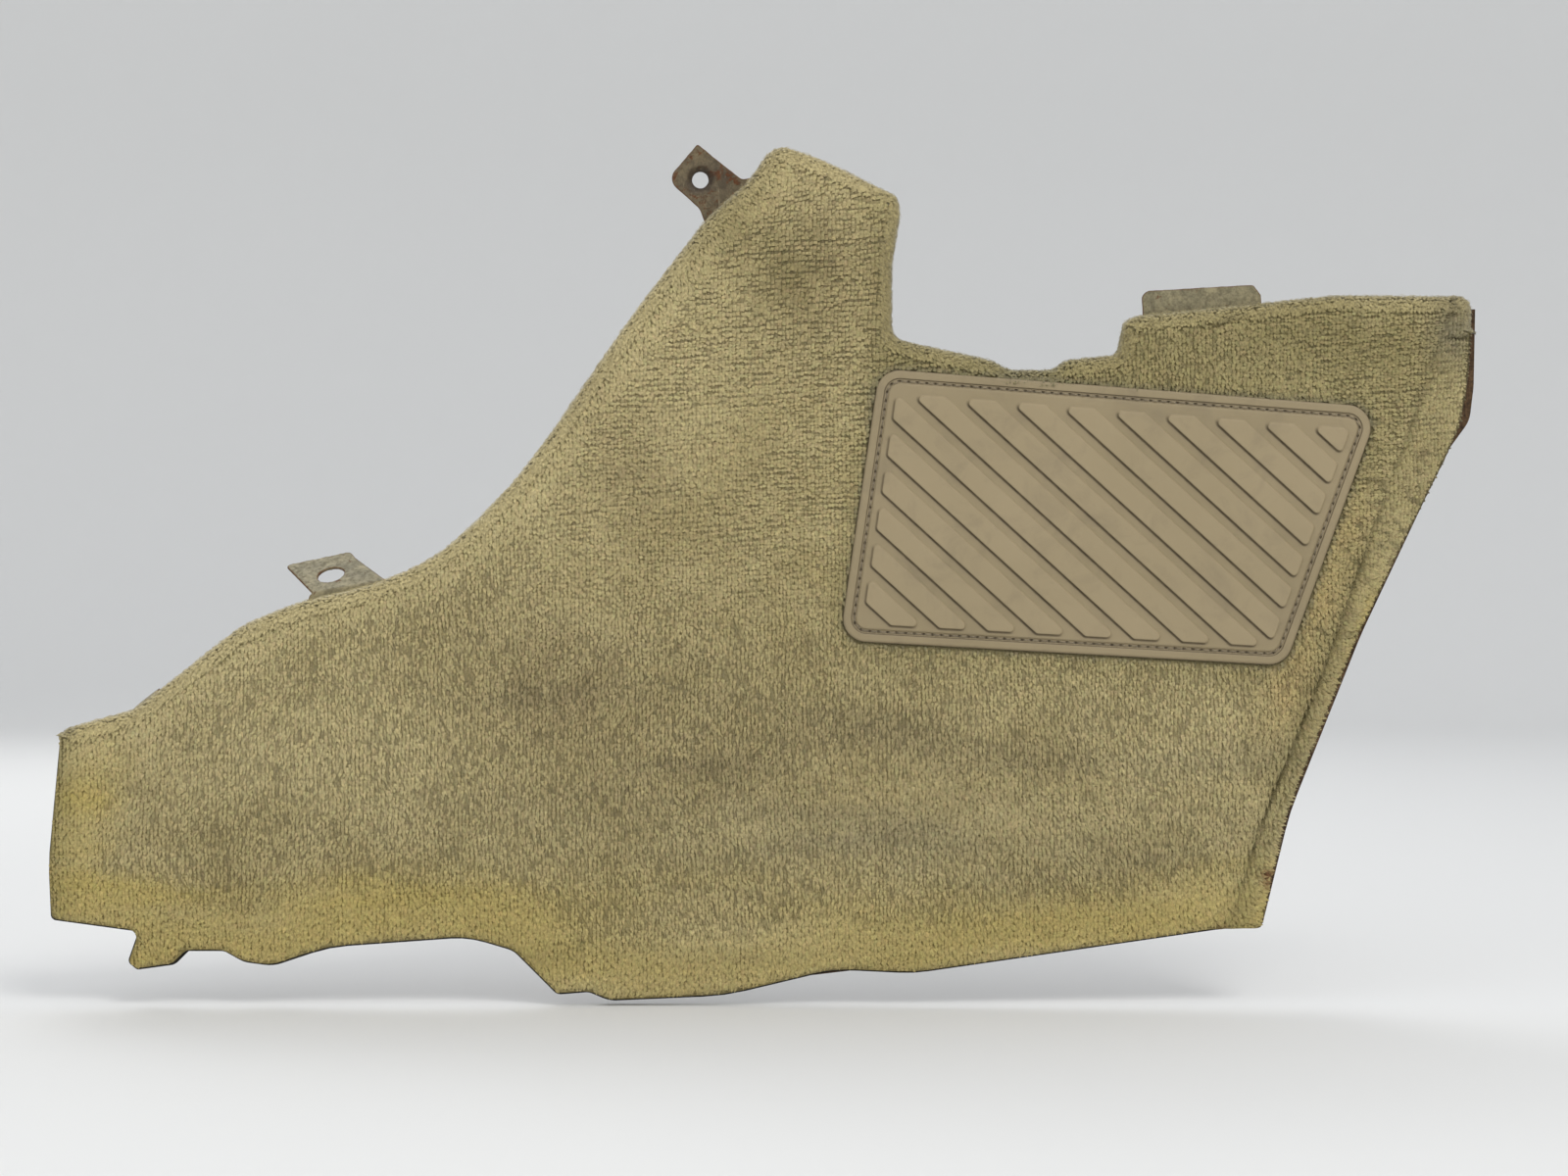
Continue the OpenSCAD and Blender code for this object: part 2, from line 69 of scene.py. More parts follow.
Y_BACK, Y_PILE, Y_HEM = -3.0, -13.5, 1.5
Y_PAD_BACK, Y_PAD, RIB_H = -11.1, -14.1, 1.3
FLANGE_ANGLE = math.radians(11)
FOLD_LOW, FOLD_HIGH = np.array([219.0, -290.0]), np.array([285.5, -98.0])
ROLLED = [[-227, -214, 12], [-184, -180, 60], [-159, -170, 100], [-131, -164, 100],
          [-106, -153, 70], [-83, -132, 150], [-66, -112, 200], [-26, -54, 300],
          [4.5, -14.5, 60], [20, -1.5, 30], [27.5, 10, 8], [33, 12.5, 6], [48, 7.5, 60],
          [79, -7.5, 4], [80.5, -14, 8], [77, -34.5, 40], [77, -62, 3], [80, -65.5, 5],
          [117, -73.5, 15], [124, -77.5, 10], [142.5, -77.5, 6], [147, -73.5, 6],
          [168, -71.5, 3], [171, -57.5, 3], [177, -55.5, 15], [256.5, -47.5, 60]]
CUT_FRONT = [[311.5, -48, 6], [309.5, -83, 20], [306.5, -100, 15], [300, -114, 20],
             [265, -184, 100], [236, -256, 100], [226, -302, 1.5]]
CUT_LOWER = [[207, -301.5, 60], [86, -319, 60], [54, -317.5, 60], [10, -328, 90],
             [-36, -330, 12], [-44.5, -326.5, 6], [-57, -327.5, 3], [-74.5, -310, 10],
             [-93, -304.5, 40], [-149, -308.5, 60], [-171.5, -316, 14],
             [-183, -314.5, 10], [-191, -310, 6], [-206, -310, 2], [-211.5, -315.5, 3],
             [-226, -317.5, 1.5], [-229, -315, 1.5], [-225.5, -305, 1], [-227, -302, 1],
             [-260, -297.5, 1.5], [-261, -275.5, 60], [-256, -222, 4]]
PAD = [[72, -77], [272.5, -92.5], [234.5, -196], [56, -186]]
PAD_R, RIB_MARGIN, RIB_PITCH, RIB_GAP, RIB_SHIFT = 9.5, 8.1, 12.3, 3.4, 3.8
RIB_SLOPE, RIB_OFFSET = math.radians(42.4), np.array([-0.35, -1.15])
STITCH_INSET, CHANNEL_D, STITCH_PITCH = 4.5, 0.7, 3.6


# ---- outlines --------------------------------------------------------------------------

def edge_ways(a, p, b):
    """The directions of the edges before and after corner p, between its neighbours."""
    return (p - a) / np.linalg.norm(p - a), (b - p) / np.linalg.norm(b - p)


def corner_arc(a, p, b, r, step):
    """The arc that rounds corner p, with a point about every step degrees."""
    u, w = edge_ways(a, p, b)
    turn = math.acos(max(-1.0, min(1.0, float(u @ w))))
    if math.degrees(turn) < 0.5 or r <= 0:
        return [p]
    side = 1 if u[0] * w[1] - u[1] * w[0] < 0 else -1
    start = p - u * r * math.tan(turn / 2)
    centre = start + np.array([u[1], -u[0]]) * r * side
    count = math.ceil(math.degrees(turn) / step)
    arm, out = start - centre, []
    for i in range(count + 1):
        t = -side * turn * i / count
        out.append(centre + [arm[0] * math.cos(t) - arm[1] * math.sin(t),
                             arm[0] * math.sin(t) + arm[1] * math.cos(t)])
    return out


def rounded(corners, step=8.0):
    """The outline through corners, each given as x, z and its radius."""
    n = len(corners)
    pts = [np.array(c[:2], float) for c in corners]
    return np.array([q for i in range(n)
                     for q in corner_arc(pts[i - 1], pts[i], pts[(i + 1) % n],
                                         corners[i][2], step)])


def inset(corners, d):
    """The same corners, all edges moved inwards by d."""
    pts, out = [np.array(c[:2], float) for c in corners], []
    for i, p in enumerate(pts):
        u, w = edge_ways(pts[i - 1], p, pts[(i + 1) % len(pts)])
        q = p + np.array([u[1] + w[1], -u[0] - w[0]]) * d / (1 + u @ w)
        outer = u[0] * w[1] - u[1] * w[0] < 0
        r = max(0.3, corners[i][2] - d) if outer else corners[i][2] + d
        out.append([q[0], q[1], r])
    return out


def resampled(path, pitch):
    """Points evenly spaced round a closed path."""
    pts = np.vstack([path, path[:1]])
    s = np.concatenate([[0], np.cumsum(np.linalg.norm(np.diff(pts, axis=0), axis=1))])
    at = np.linspace(0, s[-1], max(3, int(round(s[-1] / pitch))) + 1)[:-1]
    return np.column_stack([np.interp(at, s, pts[:, k]) for k in (0, 1)])


def path_distance(p, path, closed=True):
    """Distance from points p to a path, and the nearest points on it."""
    a, b = path, np.roll(path, -1, axis=0)
    if not closed:
        a, b = a[:-1], b[:-1]
    ab = b - a
    ab2 = np.maximum((ab ** 2).sum(1), 1e-12)
    dist, near = np.empty(len(p)), np.empty((len(p), 2))
    batch = 8000
    for i in range(0, len(p), batch):
        q = p[i:i + batch, None, :]
        t = np.clip(((q - a) * ab).sum(2) / ab2, 0, 1)
        c = a + t[..., None] * ab
        d = ((q - c) ** 2).sum(2)
        k = d.argmin(1)
        rows = np.arange(len(k))
        dist[i:i + batch] = np.sqrt(d[rows, k])
        near[i:i + batch] = c[rows, k]
    return dist, near


def inside(p, path):
    """Whether points p lie inside a closed path."""
    hit = np.zeros(len(p), bool)
    for (x0, y0), (x1, y1) in zip(path, np.roll(path, -1, axis=0)):
        if y0 != y1:
            cross = (y0 > p[:, 1]) != (y1 > p[:, 1])
            hit ^= cross & (p[:, 0] < (x1 - x0) * (p[:, 1] - y0) / (y1 - y0) + x0)
    return hit


OUTLINE = rounded(ROLLED + CUT_FRONT + CUT_LOWER)
ROLL_PATH = rounded([[-256, -222, 0]] + ROLLED + [[311.5, -48, 6], [310.8, -60, 0]])
LOW_PATH = rounded([[226, -302, 0]] + CUT_LOWER)[:-1]
FRONT_PATH = rounded([[311.5, -54, 0]] + CUT_FRONT[1:-1] + [[226, -302, 0]])
PAD_BASE = [[*c, PAD_R] for c in PAD]
PAD_PATH = rounded(PAD_BASE)


def roll_distance(p):
    """How far points of the flat panel are from its rolled edge."""
    return path_distance(p, ROLL_PATH, closed=False)[0]


# ---- the fold ----------------------------------------------------------------------------

FOLD_U = (FOLD_HIGH - FOLD_LOW) / np.linalg.norm(FOLD_HIGH - FOLD_LOW)
FOLD_N = np.array([FOLD_U[1], -FOLD_U[0]])
FOLD_SOFT = 2.5


def beyond_fold(p):
    """How far points of the x-z plane lie beyond the fold."""
    return (p - FOLD_LOW) @ FOLD_N


def flange_turn(s):
    """The angle through which the panel has turned at distances s beyond the fold."""
    k = np.clip((s + FOLD_SOFT) / (2 * FOLD_SOFT), 0, 1)
    return FLANGE_ANGLE * k * k * (3 - 2 * k)


def shifted(v, across, depth):
    """Points or directions moved straight across the fold, and given a new depth."""
    out = v.copy()
    out[:, 0] += FOLD_N[0] * across
    out[:, 2] += FOLD_N[1] * across
    out[:, 1] = depth
    return out


def bent(p):
    """Flat points (x, y, z) bent back about the fold, over a soft zone."""
    s, t = beyond_fold(p[:, [0, 2]]), p[:, 1] - Y_PILE
    angle = flange_turn(s)
    s2 = np.where(s > 0, s * np.cos(angle) - t * np.sin(angle), s - t * np.sin(angle))
    t2 = np.where(s > 0, s * np.sin(angle) + t * np.cos(angle), t * np.cos(angle))
    return shifted(p, s2 - s, Y_PILE + t2)


def unbent(p):
    """Bent points back in the flat panel's coordinates."""
    s, t = beyond_fold(p[:, [0, 2]]), p[:, 1] - Y_PILE
    c, n = math.cos(FLANGE_ANGLE), math.sin(FLANGE_ANGLE)
    turned = s * math.cos(FLANGE_ANGLE / 2) + t * math.sin(FLANGE_ANGLE / 2) > 0
    s2, t2 = np.where(turned, s * c + t * n, s), np.where(turned, t * c - s * n, t)
    return shifted(p, s2 - s, Y_PILE + t2)


def turned_to_flange(v, s):
    """Directions v turned with the flange where s is beyond the fold."""
    angle = flange_turn(s)
    across = v[:, 0] * FOLD_N[0] + v[:, 2] * FOLD_N[1]
    return shifted(v, across * np.cos(angle) - v[:, 1] * np.sin(angle) - across,
                   across * np.sin(angle) + v[:, 1] * np.cos(angle))


# ---- smooth noise, the same on every run ---------------------------------------------

def lattice(ix, iy, seed):
    """A random number from 0 to 1 for each point of a whole-number grid."""
    h = (ix.astype(np.int64) * 374761393 + iy.astype(np.int64) * 668265263
         + seed * 974634777) & 0xFFFFFFFF
    h = ((h ^ (h >> 13)) * 1274126177) & 0xFFFFFFFF
    return ((h ^ (h >> 16)) & 0xFFFFFF) / float(0xFFFFFF)


def value_noise(x, y, seed):
    """Smooth noise from -1 to 1 with one feature a unit."""
    ix, iy = np.floor(x), np.floor(y)
    fx, fy = x - ix, y - iy
    fx, fy = fx * fx * (3 - 2 * fx), fy * fy * (3 - 2 * fy)
    a, b = lattice(ix, iy, seed), lattice(ix + 1, iy, seed)
    c, d = lattice(ix, iy + 1, seed), lattice(ix + 1, iy + 1, seed)
    return 2 * (a + (b - a) * fx + (c - a) * fy + (a - b - c + d) * fx * fy) - 1


def cloudy(x, y, size, seed, stretch=1.0):
    """Noise of three sizes, each half the last; stretch makes it longer along x."""
    total, weight, amp = 0, 0, 1.0
    for k in range(3):
        f = 2 ** k / size
        total = total + amp * value_noise(x * f / stretch + 17.3 * k, y * f + 5.1 * k, seed + k)
        weight, amp = weight + amp, amp * 0.55
    return total / weight


def blob(x, z, cx, cz, rx, rz, turn=0.0):
    """1 at a spot's middle, falling smoothly to 0 outside its two radii."""
    c, s = math.cos(math.radians(turn)), math.sin(math.radians(turn))
    dx, dz = x - cx, z - cz
    return np.exp(-(((dx * c + dz * s) / rx) ** 2 + ((dz * c - dx * s) / rz) ** 2))


def blobs(x, z, *rows):
    """Soft spots added up, each given as its strength and then its blob."""
    return sum(strength * blob(x, z, *where) for strength, *where in rows)


def hill(x, half_width):
    """1 where x is 0, falling smoothly to 0 on both sides."""
    return np.exp(-(x / half_width) ** 2)


def smooth(x, low, high):
    """0 up to low, 1 from high on, and a smooth step between them."""
    t = np.clip((x - low) / (high - low), 0, 1)
    return t * t * (3 - 2 * t)


# ---- meshes ---------------------------------------------------------------------------

def unit(v, least=1e-9):
    """Each row of v at length 1, unless it is shorter than least."""
    return v / np.maximum(np.linalg.norm(v, axis=1), least)[:, None]


def laid(v, normal):
    """Directions v brought down to lie along a surface, given its normals."""
    return unit(v - normal * (v * normal).sum(1)[:, None])


def linked(name, data):
    """A new object in the scene."""
    obj = bpy.data.objects.new(name, data)
    bpy.context.scene.collection.objects.link(obj)
    return obj


def write_tint(mesh, colour):
    """Stores a colour at each vertex, which the materials read as tint."""
    rgba = np.ones((len(mesh.vertices), 4), np.float32)
    rgba[:, :3] = colour
    layer = mesh.color_attributes.new("tint", "FLOAT_COLOR", "POINT")
    layer.data.foreach_set("color", rgba.ravel())


def mesh_object(name, co_mm, groups, tint=None, uv=None):
    """A smooth object from vertices in millimetres and arrays of faces.

    All the faces in one array have the same number of corners.
    """
    mesh = bpy.data.meshes.new(name)
    co = np.asarray(co_mm, np.float64) * MM
    mesh.vertices.add(len(co))
    mesh.vertices.foreach_set("co", co.astype(np.float32).ravel())
    loops = np.concatenate([g.ravel() for g in groups]).astype(np.int32)
    sizes = np.concatenate([np.full(len(g), g.shape[1]) for g in groups])
    starts = np.concatenate([[0], np.cumsum(sizes)[:-1]])
    mesh.loops.add(len(loops))
    mesh.loops.foreach_set("vertex_index", loops)
    mesh.polygons.add(len(sizes))
    mesh.polygons.foreach_set("loop_start", starts.astype(np.int32))
    mesh.update(calc_edges=True)
    mesh.validate()
    mesh.shade_smooth()
    if tint is not None:
        write_tint(mesh, tint)
    if uv is not None:
        flat = 0.01 + 0.98 * (uv - uv.min(0)) / max(np.ptp(uv[:, 0]), np.ptp(uv[:, 1]))
        layer = mesh.uv_layers.new(name="OFBake")
        layer.data.foreach_set("uv", flat[loops].astype(np.float32).ravel())
    return linked(name, mesh)


def shells(name, rings, quads, tris, tint):
    """Many small closed shells, from the nth vertex of them all in turn and one's faces."""
    co = np.stack(rings, axis=1).reshape(-1, 3)
    base = (np.arange(len(rings[0])) * len(rings))[:, None, None]
    groups = [(base + np.array(faces)).reshape(-1, len(faces[0])) for faces in (quads, tris)]
    return mesh_object(name, co, groups, tint, co[:, [0, 2]])


def finished(obj, mat, slot, *nodes):
    """Gives a piece its material and body, and hides the CAD nodes that it stands for; slot is not
    used.
    """
    obj.data.materials.clear()
    obj.data.materials.append(MATS[mat])
    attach(obj, "root")
    if nodes:
        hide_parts(*nodes)


def cad_copy(node, name):
    """A welded copy of a CAD node's mesh, to be reworked into a finished piece."""
    mesh = NODES[node].data.copy()
    mesh.name = name
    bm = bmesh.new()
    bm.from_mesh(mesh)
    bmesh.ops.remove_doubles(bm, verts=bm.verts, dist=2e-6)
    bmesh.ops.recalc_face_normals(bm, faces=bm.faces)
    bm.to_mesh(mesh)
    bm.free()
    for layer in list(mesh.uv_layers):
        mesh.uv_layers.remove(layer)
    return linked(name, mesh)


def with_modifiers(obj, *specs):
    """Adds modifiers one after another and bakes them into the mesh."""
    for kind, values in specs:
        mod = obj.modifiers.new(kind, kind)
        for key, value in values.items():
            setattr(mod, key, value)
    bpy.context.view_layer.update()
    graph = bpy.context.evaluated_depsgraph_get()
    mesh = bpy.data.meshes.new_from_object(obj.evaluated_get(graph))
    old, obj.data = obj.data, mesh
    obj.modifiers.clear()
    bpy.data.meshes.remove(old)
    mesh.name = obj.name
    return obj


def softened(node, name, voxel, passes):
    """A CAD node's shape in small even faces, with its edges softened."""
    size = voxel * MM
    remesh = {"mode": "VOXEL", "voxel_size": size, "use_smooth_shade": True}
    return with_modifiers(cad_copy(node, name), ("REMESH", remesh),
                          ("SMOOTH", {"factor": 0.5, "iterations": passes}))


def read_vectors(items, key):
    """A vector from each of a mesh's items, as rows."""
    values = np.empty(len(items) * 3, np.float32)
    items.foreach_get(key, values)
    return values.reshape(-1, 3).astype(float)


def coords(obj):
    """A mesh's vertices in millimetres."""
    return read_vectors(obj.data.vertices, "co") * 1000


def normals(obj):
    """The normals at a mesh's vertices."""
    return read_vectors(obj.data.vertex_normals, "vector")


def set_coords(obj, co_mm):
    """Moves a mesh's vertices to places in millimetres."""
    obj.data.vertices.foreach_set("co", (co_mm * MM).astype(np.float32).ravel())
    obj.data.update()


# ---- materials --------------------------------------------------------------------------

def srgb(r, g, b):
    """A colour given as it looks, 0 to 255, in the linear values that shaders take."""
    return tuple(((v / 255 + 0.055) / 1.055) ** 2.4 if v > 10 else v / 255 / 12.92
                 for v in (r, g, b))


class Shader:
    """A material and short ways to add nodes to it."""

    def __init__(self, name, **sockets):
        self.mat = bpy.data.materials.new(name)
        self.mat.use_nodes = True
        self.tree = self.mat.node_tree
        self.bsdf = self.tree.nodes["Principled BSDF"]
        for key, value in sockets.items():
            self.bsdf.inputs[key.replace("_", " ")].default_value = value
        self.place = self.add("ShaderNodeTexCoord").outputs["Object"]

    def put(self, socket, value):
        if isinstance(value, bpy.types.NodeSocket):
            self.tree.links.new(value, socket)
        elif isinstance(value, tuple) and len(value) == 3 and socket.type == "RGBA":
            socket.default_value = (*value, 1)
        else:
            socket.default_value = value

    def add(self, kind, **inputs):
        node = self.tree.nodes.new(kind)
        for key, value in inputs.items():
            self.put(node.inputs[key.replace("_", " ")], value)
        return node

    def scaled(self, x, y, z, turn=0.0):
        """Object coordinates stretched on each axis and turned about y."""
        node = self.add("ShaderNodeMapping", Vector=self.place)
        node.inputs["Scale"].default_value = (x, y, z)
        node.inputs["Rotation"].default_value = (0, turn, 0)
        return node.outputs[0]

    def noise(self, scale, detail=3.0, rough=0.55, at=None, distort=0.0):
        return self.add("ShaderNodeTexNoise", Vector=at or self.place, Scale=scale,
                        Detail=detail, Roughness=rough, Distortion=distort).outputs["Fac"]

    def cells(self, scale, feature="F1"):
        node = self.add("ShaderNodeTexVoronoi", Vector=self.place, Scale=scale)
        node.feature = feature
        return node.outputs["Distance"]

    def tint(self):
        """The colour that write_tint stored."""
        node = self.add("ShaderNodeAttribute")
        node.attribute_name = "tint"
        return node.outputs["Color"]

    def ramp(self, fac, *stops):
        """A value that fac leads from one stop to the other, each a position and a value."""
        node = self.add("ShaderNodeValToRGB", Fac=fac)
        for element, (at, value) in zip(node.color_ramp.elements, stops):
            element.position = at
            element.color = (value, value, value, 1)
        return node.outputs[0]

    def mix(self, fac, a, b, how="MIX"):
        node = self.add("ShaderNodeMix")
        node.data_type, node.blend_type = "RGBA", how
        for socket, value in zip((node.inputs[0], node.inputs[6], node.inputs[7]), (fac, a, b)):
            self.put(socket, value)
        return node.outputs[2]

    def shaded(self, color, fac, *stops):
        """A colour multiplied by a ramp's values."""
        return self.mix(1.0, color, self.ramp(fac, *stops), "MULTIPLY")

    def over(self, color, top, fac, low, high, most=1.0):
        """A colour with another one over it where fac rises from low to high."""
        return self.mix(self.ramp(fac, (low, 0.0), (high, most)), color, top)

    def math(self, how, a, b):
        node = self.add("ShaderNodeMath")
        node.operation = how
        self.put(node.inputs[0], a)
        self.put(node.inputs[1], b)
        return node.outputs[0]

    def times(self, a, b):
        return self.math("MULTIPLY", a, b)

    def plus(self, a, b):
        return self.math("ADD", a, b)

    def bump(self, height, strength, distance_mm, below=None):
        node = self.add("ShaderNodeBump", Height=height, Strength=strength,
                        Distance=distance_mm * MM)
        if below is not None:
            self.tree.links.new(below, node.inputs["Normal"])
        return node.outputs[0]

    def done(self, color, rough=None, normal=None, metal=None):
        for key, value in (("Base Color", color), ("Roughness", rough), ("Normal", normal),
                           ("Metallic", metal)):
            if value is not None:
                self.put(self.bsdf.inputs[key], value)
        return self.mat


# ---- carpet -----------------------------------------------------------------------------

ROLL_R = (Y_HEM - Y_PILE) / 2
PILE_H, CLOTH_RISE = 2.1, 1.2
HEM_STEP, SIDE_STEP = 1.2, 1.6
FRONT_TUFT_LENGTH, FRONT_TUFT_WIDTH = 2.9, 1.3
EDGE_TUFT_LENGTH, EDGE_TUFT_WIDTH = 2.2, 1.6


def crease(x, z):
    """How deep the fold's crease is at a point, 0 to 1."""
    p = np.column_stack([x, z])
    s, t = beyond_fold(p), (p - FOLD_LOW) @ FOLD_U
    along = 0.5 + 0.5 * smooth(-z, 120, 180) - 0.55 * smooth(-z, 262, 282)
    ragged = 0.75 + 0.7 * cloudy(t, np.zeros_like(t), 7, 31)
    wander = 0.9 * cloudy(t, np.zeros_like(t) + 3, 34, 32) - 4.0 * smooth(-z, 165, 270)
    fold = hill(s - wander, 1.2) * np.clip(along * ragged, 0, 1)
    return np.maximum(fold, blobs(x, z, (1, 306.5, -64.8, 6.5, 0.9),
                                  (0.7, 209.5, -58, 7, 0.9, 22)))


def swell(x, z):
    """Soft hills and hollows of the carpet, in mm towards the viewer."""
    return (0.7 * cloudy(x, z, 60, 11) + 0.35 * cloudy(x, z, 17, 12)
            - 1.6 * crease(x, z))


def rolls(edge, roll):
    """Whether the edge nearest to a point is a rolled one."""
    return np.abs(edge - roll) < 1.2


def carpet_body():
    """The carpet as one cloth with its backing, rolled over the upper edges."""
    obj = softened("carpet", "carpet_cloth", voxel=1.4, passes=4)
    co = coords(obj)
    flat = unbent(co)
    xz, depth = flat[:, [0, 2]], flat[:, 1]
    edge, near = path_distance(xz, OUTLINE)
    roll = roll_distance(xz)
    within = inside(xz, OUTLINE)
    edge = np.where(within, edge, -edge)
    outward = unit(near - xz, 1e-6)
    outward[~within] *= -1
    move = np.zeros_like(flat)

    # The rolled edge becomes a half circle from the front to the hem
    share = np.clip(1 - roll / ROLL_R, 0, 1) * ((roll < ROLL_R + 0.5) & rolls(edge, roll))
    t = np.clip((depth - (Y_PILE + Y_HEM) / 2) / ROLL_R, -1, 1)
    tuck = 0.9 * ROLL_R * (1 - np.sqrt(np.maximum(0, 1 - t * t)))
    sides = share * (1 - np.abs(t)) * SIDE_STEP
    move[:, [0, 2]] -= outward * (tuck * share)[:, None]
    move[:, [0, 2]] -= outward * sides[:, None]

    # Everything that carries pile steps back by the height of the tufts
    clear = smooth(path_distance(xz, PAD_PATH)[0], 0.4, 1.4) * ~inside(xz, PAD_PATH)
    hills = swell(xz[:, 0], xz[:, 1]) * smooth(edge, -1, 8)
    move[:, 1] += smooth(-depth, 9.6, 12.0) * clear * (PILE_H - CLOTH_RISE - hills)
    move[:, 1] -= smooth(depth, 0.0, 1.2) * HEM_STEP

    set_coords(obj, co + turned_to_flange(move, beyond_fold(xz)))
    obj.data.shade_smooth()
    # The cloth under the tufts is painted 8% darker than the pile, a painted shade in the gaps
    write_tint(obj.data, pile_colour(xz[:, 0], xz[:, 1]) * 0.92)
    return obj


def calm(x, z):
    """Where the pile is brushed smooth, 0 to 1."""
    p = np.column_stack([x, z])
    low = path_distance(p, LOW_PATH, closed=False)[0]
    ragged = cloudy(x, z, 26, 54)
    band = smooth(27 - low + 9 * ragged, 0, 12)
    roll = smooth(17 - roll_distance(p) + 4 * ragged, 0, 10) * smooth(50 - x, 0, 30)
    flange = 0.65 * smooth(beyond_fold(p), -2, 4) * smooth(-z, 135, 175)
    worn = blobs(x, z, (0.75, 105, -252, 75, 20), (0.6, -232, -240, 26, 30),
                 (0.5, 238, -250, 26, 60), (0.4, -10, -120, 60, 26, 50))
    return np.clip(np.maximum.reduce([band, roll, flange, worn * (1 + ragged)]), 0, 1)


def level_share(x, z):
    """How far the pile's rows show as level lines, 0 to 1."""
    level = smooth(z + 12 * cloudy(x, z, 30, 65), -215, -125) * smooth(x, -95, -45)
    return level * (1 - 0.8 * blob(x, z, 190, -80, 42, 26))


def flecks(x, z, column, row):
    """Small gaps in the pile, 0 to 1: level rows at the top, upright lines below."""
    s = beyond_fold(np.column_stack([x, z]))

    # Level rows, then upright lines, then slanted dashes beside the fold
    strong = 0.38 + 0.24 * smooth(z, -120, -50) * smooth(130 - x, 0, 40)
    rows = (np.where(row % 2 == 1, -strong, strong) * (0.6 + 0.4 * value_noise(x / 7, row / 4, 57))
            + (0.3 + 0.66 * strong) * value_noise(x / 2.8, row * 7.31, 58))
    upright = (0.95 * value_noise(column * 7.31, z / 2.4, 59)
               + 0.3 * value_noise(column * 3.7, row * 3.7, 60))
    along, across = x * 0.93 - z * 0.36, x * 0.36 + z * 0.93
    slanted = 0.85 * value_noise(along / 3.4, across / 1.3, 64)
    level = level_share(x, z)
    side = smooth(s, -14, -6) * smooth(-z, 95, 125)
    gap = level * rows + (1 - level) * upright
    gap = gap * (1 - side) + slanted * side
    return smooth(-gap, -0.1, 0.75)


def pile_colour(x, z):
    """The pile's colour at points of the flat carpet, with its dirt and its fading, painted shade
    in the crease and round the pad, and a painted highlight along the rolled top edge.
    """
    straw, golden, amber = srgb(197, 182, 134), srgb(187, 168, 101), srgb(194, 164, 104)
    moss, umber, soot_and_shade = srgb(132, 122, 78), srgb(144, 128, 90), srgb(118, 112, 92)
    khaki, rust, tarred = srgb(174, 159, 112), srgb(104, 64, 36), srgb(66, 56, 40)
    p = np.column_stack([x, z])
    low, front = (path_distance(p, path, closed=False)[0] for path in (LOW_PATH, FRONT_PATH))
    pad, top, s = path_distance(p, PAD_PATH)[0], roll_distance(p), beyond_fold(p)
    patch, fine = cloudy(x, z, 46, 51), cloudy(x, z, 12, 52)
    bands = cloudy(x, z, 13, 53, stretch=5)
    rim = smooth(37 - low + 10 * patch + 6 * bands, 0, 26)

    def spots(*rows):
        return blobs(x, z, *rows)

    layers = (
        (straw, 0.45 + 0.7 * patch + 0.35 * fine),
        (golden, rim * (0.75 + 0.5 * bands)),
        (golden, spots((0.5, -60, -292, 150, 16)) * (0.8 + bands)),
        (golden, 0.45 * smooth(s, 2, 9) * smooth(-z, 150, 175) * (0.9 + fine)),
        (amber, 0.38 * hill(s + 12, 10) * smooth(-z, 112, 150) * smooth(z, -235, -200)
         * (0.9 + fine)),
        # Painted highlight along the rolled top edge on the left
        (straw, 0.62 * smooth(26 - top, 0, 20) * smooth(-x, -10, 20)),
        (straw, spots((0.5, 30, -262, 40, 12), (0.4, -165, -232, 60, 16))),
        (straw, spots((0.45, 15, -304, 60, 16), (0.3, -130, -222, 34, 20))),
        (straw, spots((0.3, 120, -212, 70, 10))),
        (umber, spots((0.55, -55, -205, 42, 30)) * (0.9 + fine)),
        (umber, spots((0.28, 10, -236, 60, 20, 6)) * (0.9 + bands)),
        (umber, spots((0.22, 92, -228, 64, 22)) * (0.8 + bands)),
        (soot_and_shade, spots((0.2, 60, -264, 120, 14)) * (0.9 + 1.2 * bands)),
        (umber, spots((0.35, -30, -110, 22, 44, 35)) * (0.8 + fine)),
        (umber, spots((0.45, 48, -38, 38, 44)) * (0.9 + fine)),
        (moss, spots((0.6, 130, -72, 62, 15)) * (1 + 0.6 * fine)),
        (moss, spots((0.5, 250, -66, 80, 18)) * (0.9 + 0.8 * fine)),
        (moss, spots((0.45, 76, -40, 9, 50))),
        (moss, spots((0.35, 245, -80, 70, 40), (0.25, 284, -130, 24, 40))),
        (soot_and_shade, spots((0.65, 302, -62, 10, 13))),
        (moss, spots((0.4, 24, -30, 26, 40, 60)) * (0.7 + fine)),
        (soot_and_shade, 0.4 * smooth(5 - low, 0, 5) * (0.6 + fine)),
        (moss, 0.3 * smooth(-(x + 244), 0, 12)),
        (soot_and_shade, 0.3 * np.clip(bands, 0, 1) * smooth(-z, 150, 230) * (1 - smooth(-x, 60, 150))),
        # Painted contact shadow round the pad, wider above it
        (soot_and_shade, 0.85 * hill(pad, np.where(z > -100, 2.4, 1.3))),
        (moss, 0.3 * hill(pad, 7)),
        (moss, 0.45 * hill(s + 2, 6) * smooth(-z, 120, 160)),
        (tarred, 0.8 * smooth(1.9 - front, 0, 1.2)),
        (rust, spots((0.95, 227, -279.3, 2.6, 1.7), (0.8, 226.4, -283, 1.6, 2.2),
                     (0.5, 209, -301, 2.2, 2.5))))
    c = np.tile(khaki, (len(x), 1))
    for colour, amount in layers:
        a = np.clip(amount, 0, 1)[:, None]
        c = c * (1 - a) + np.array(colour) * a
    # Painted shade darkens the crease by up to 70%
    return c * (1 - 0.7 * np.clip(crease(x, z), 0, 1)[:, None])


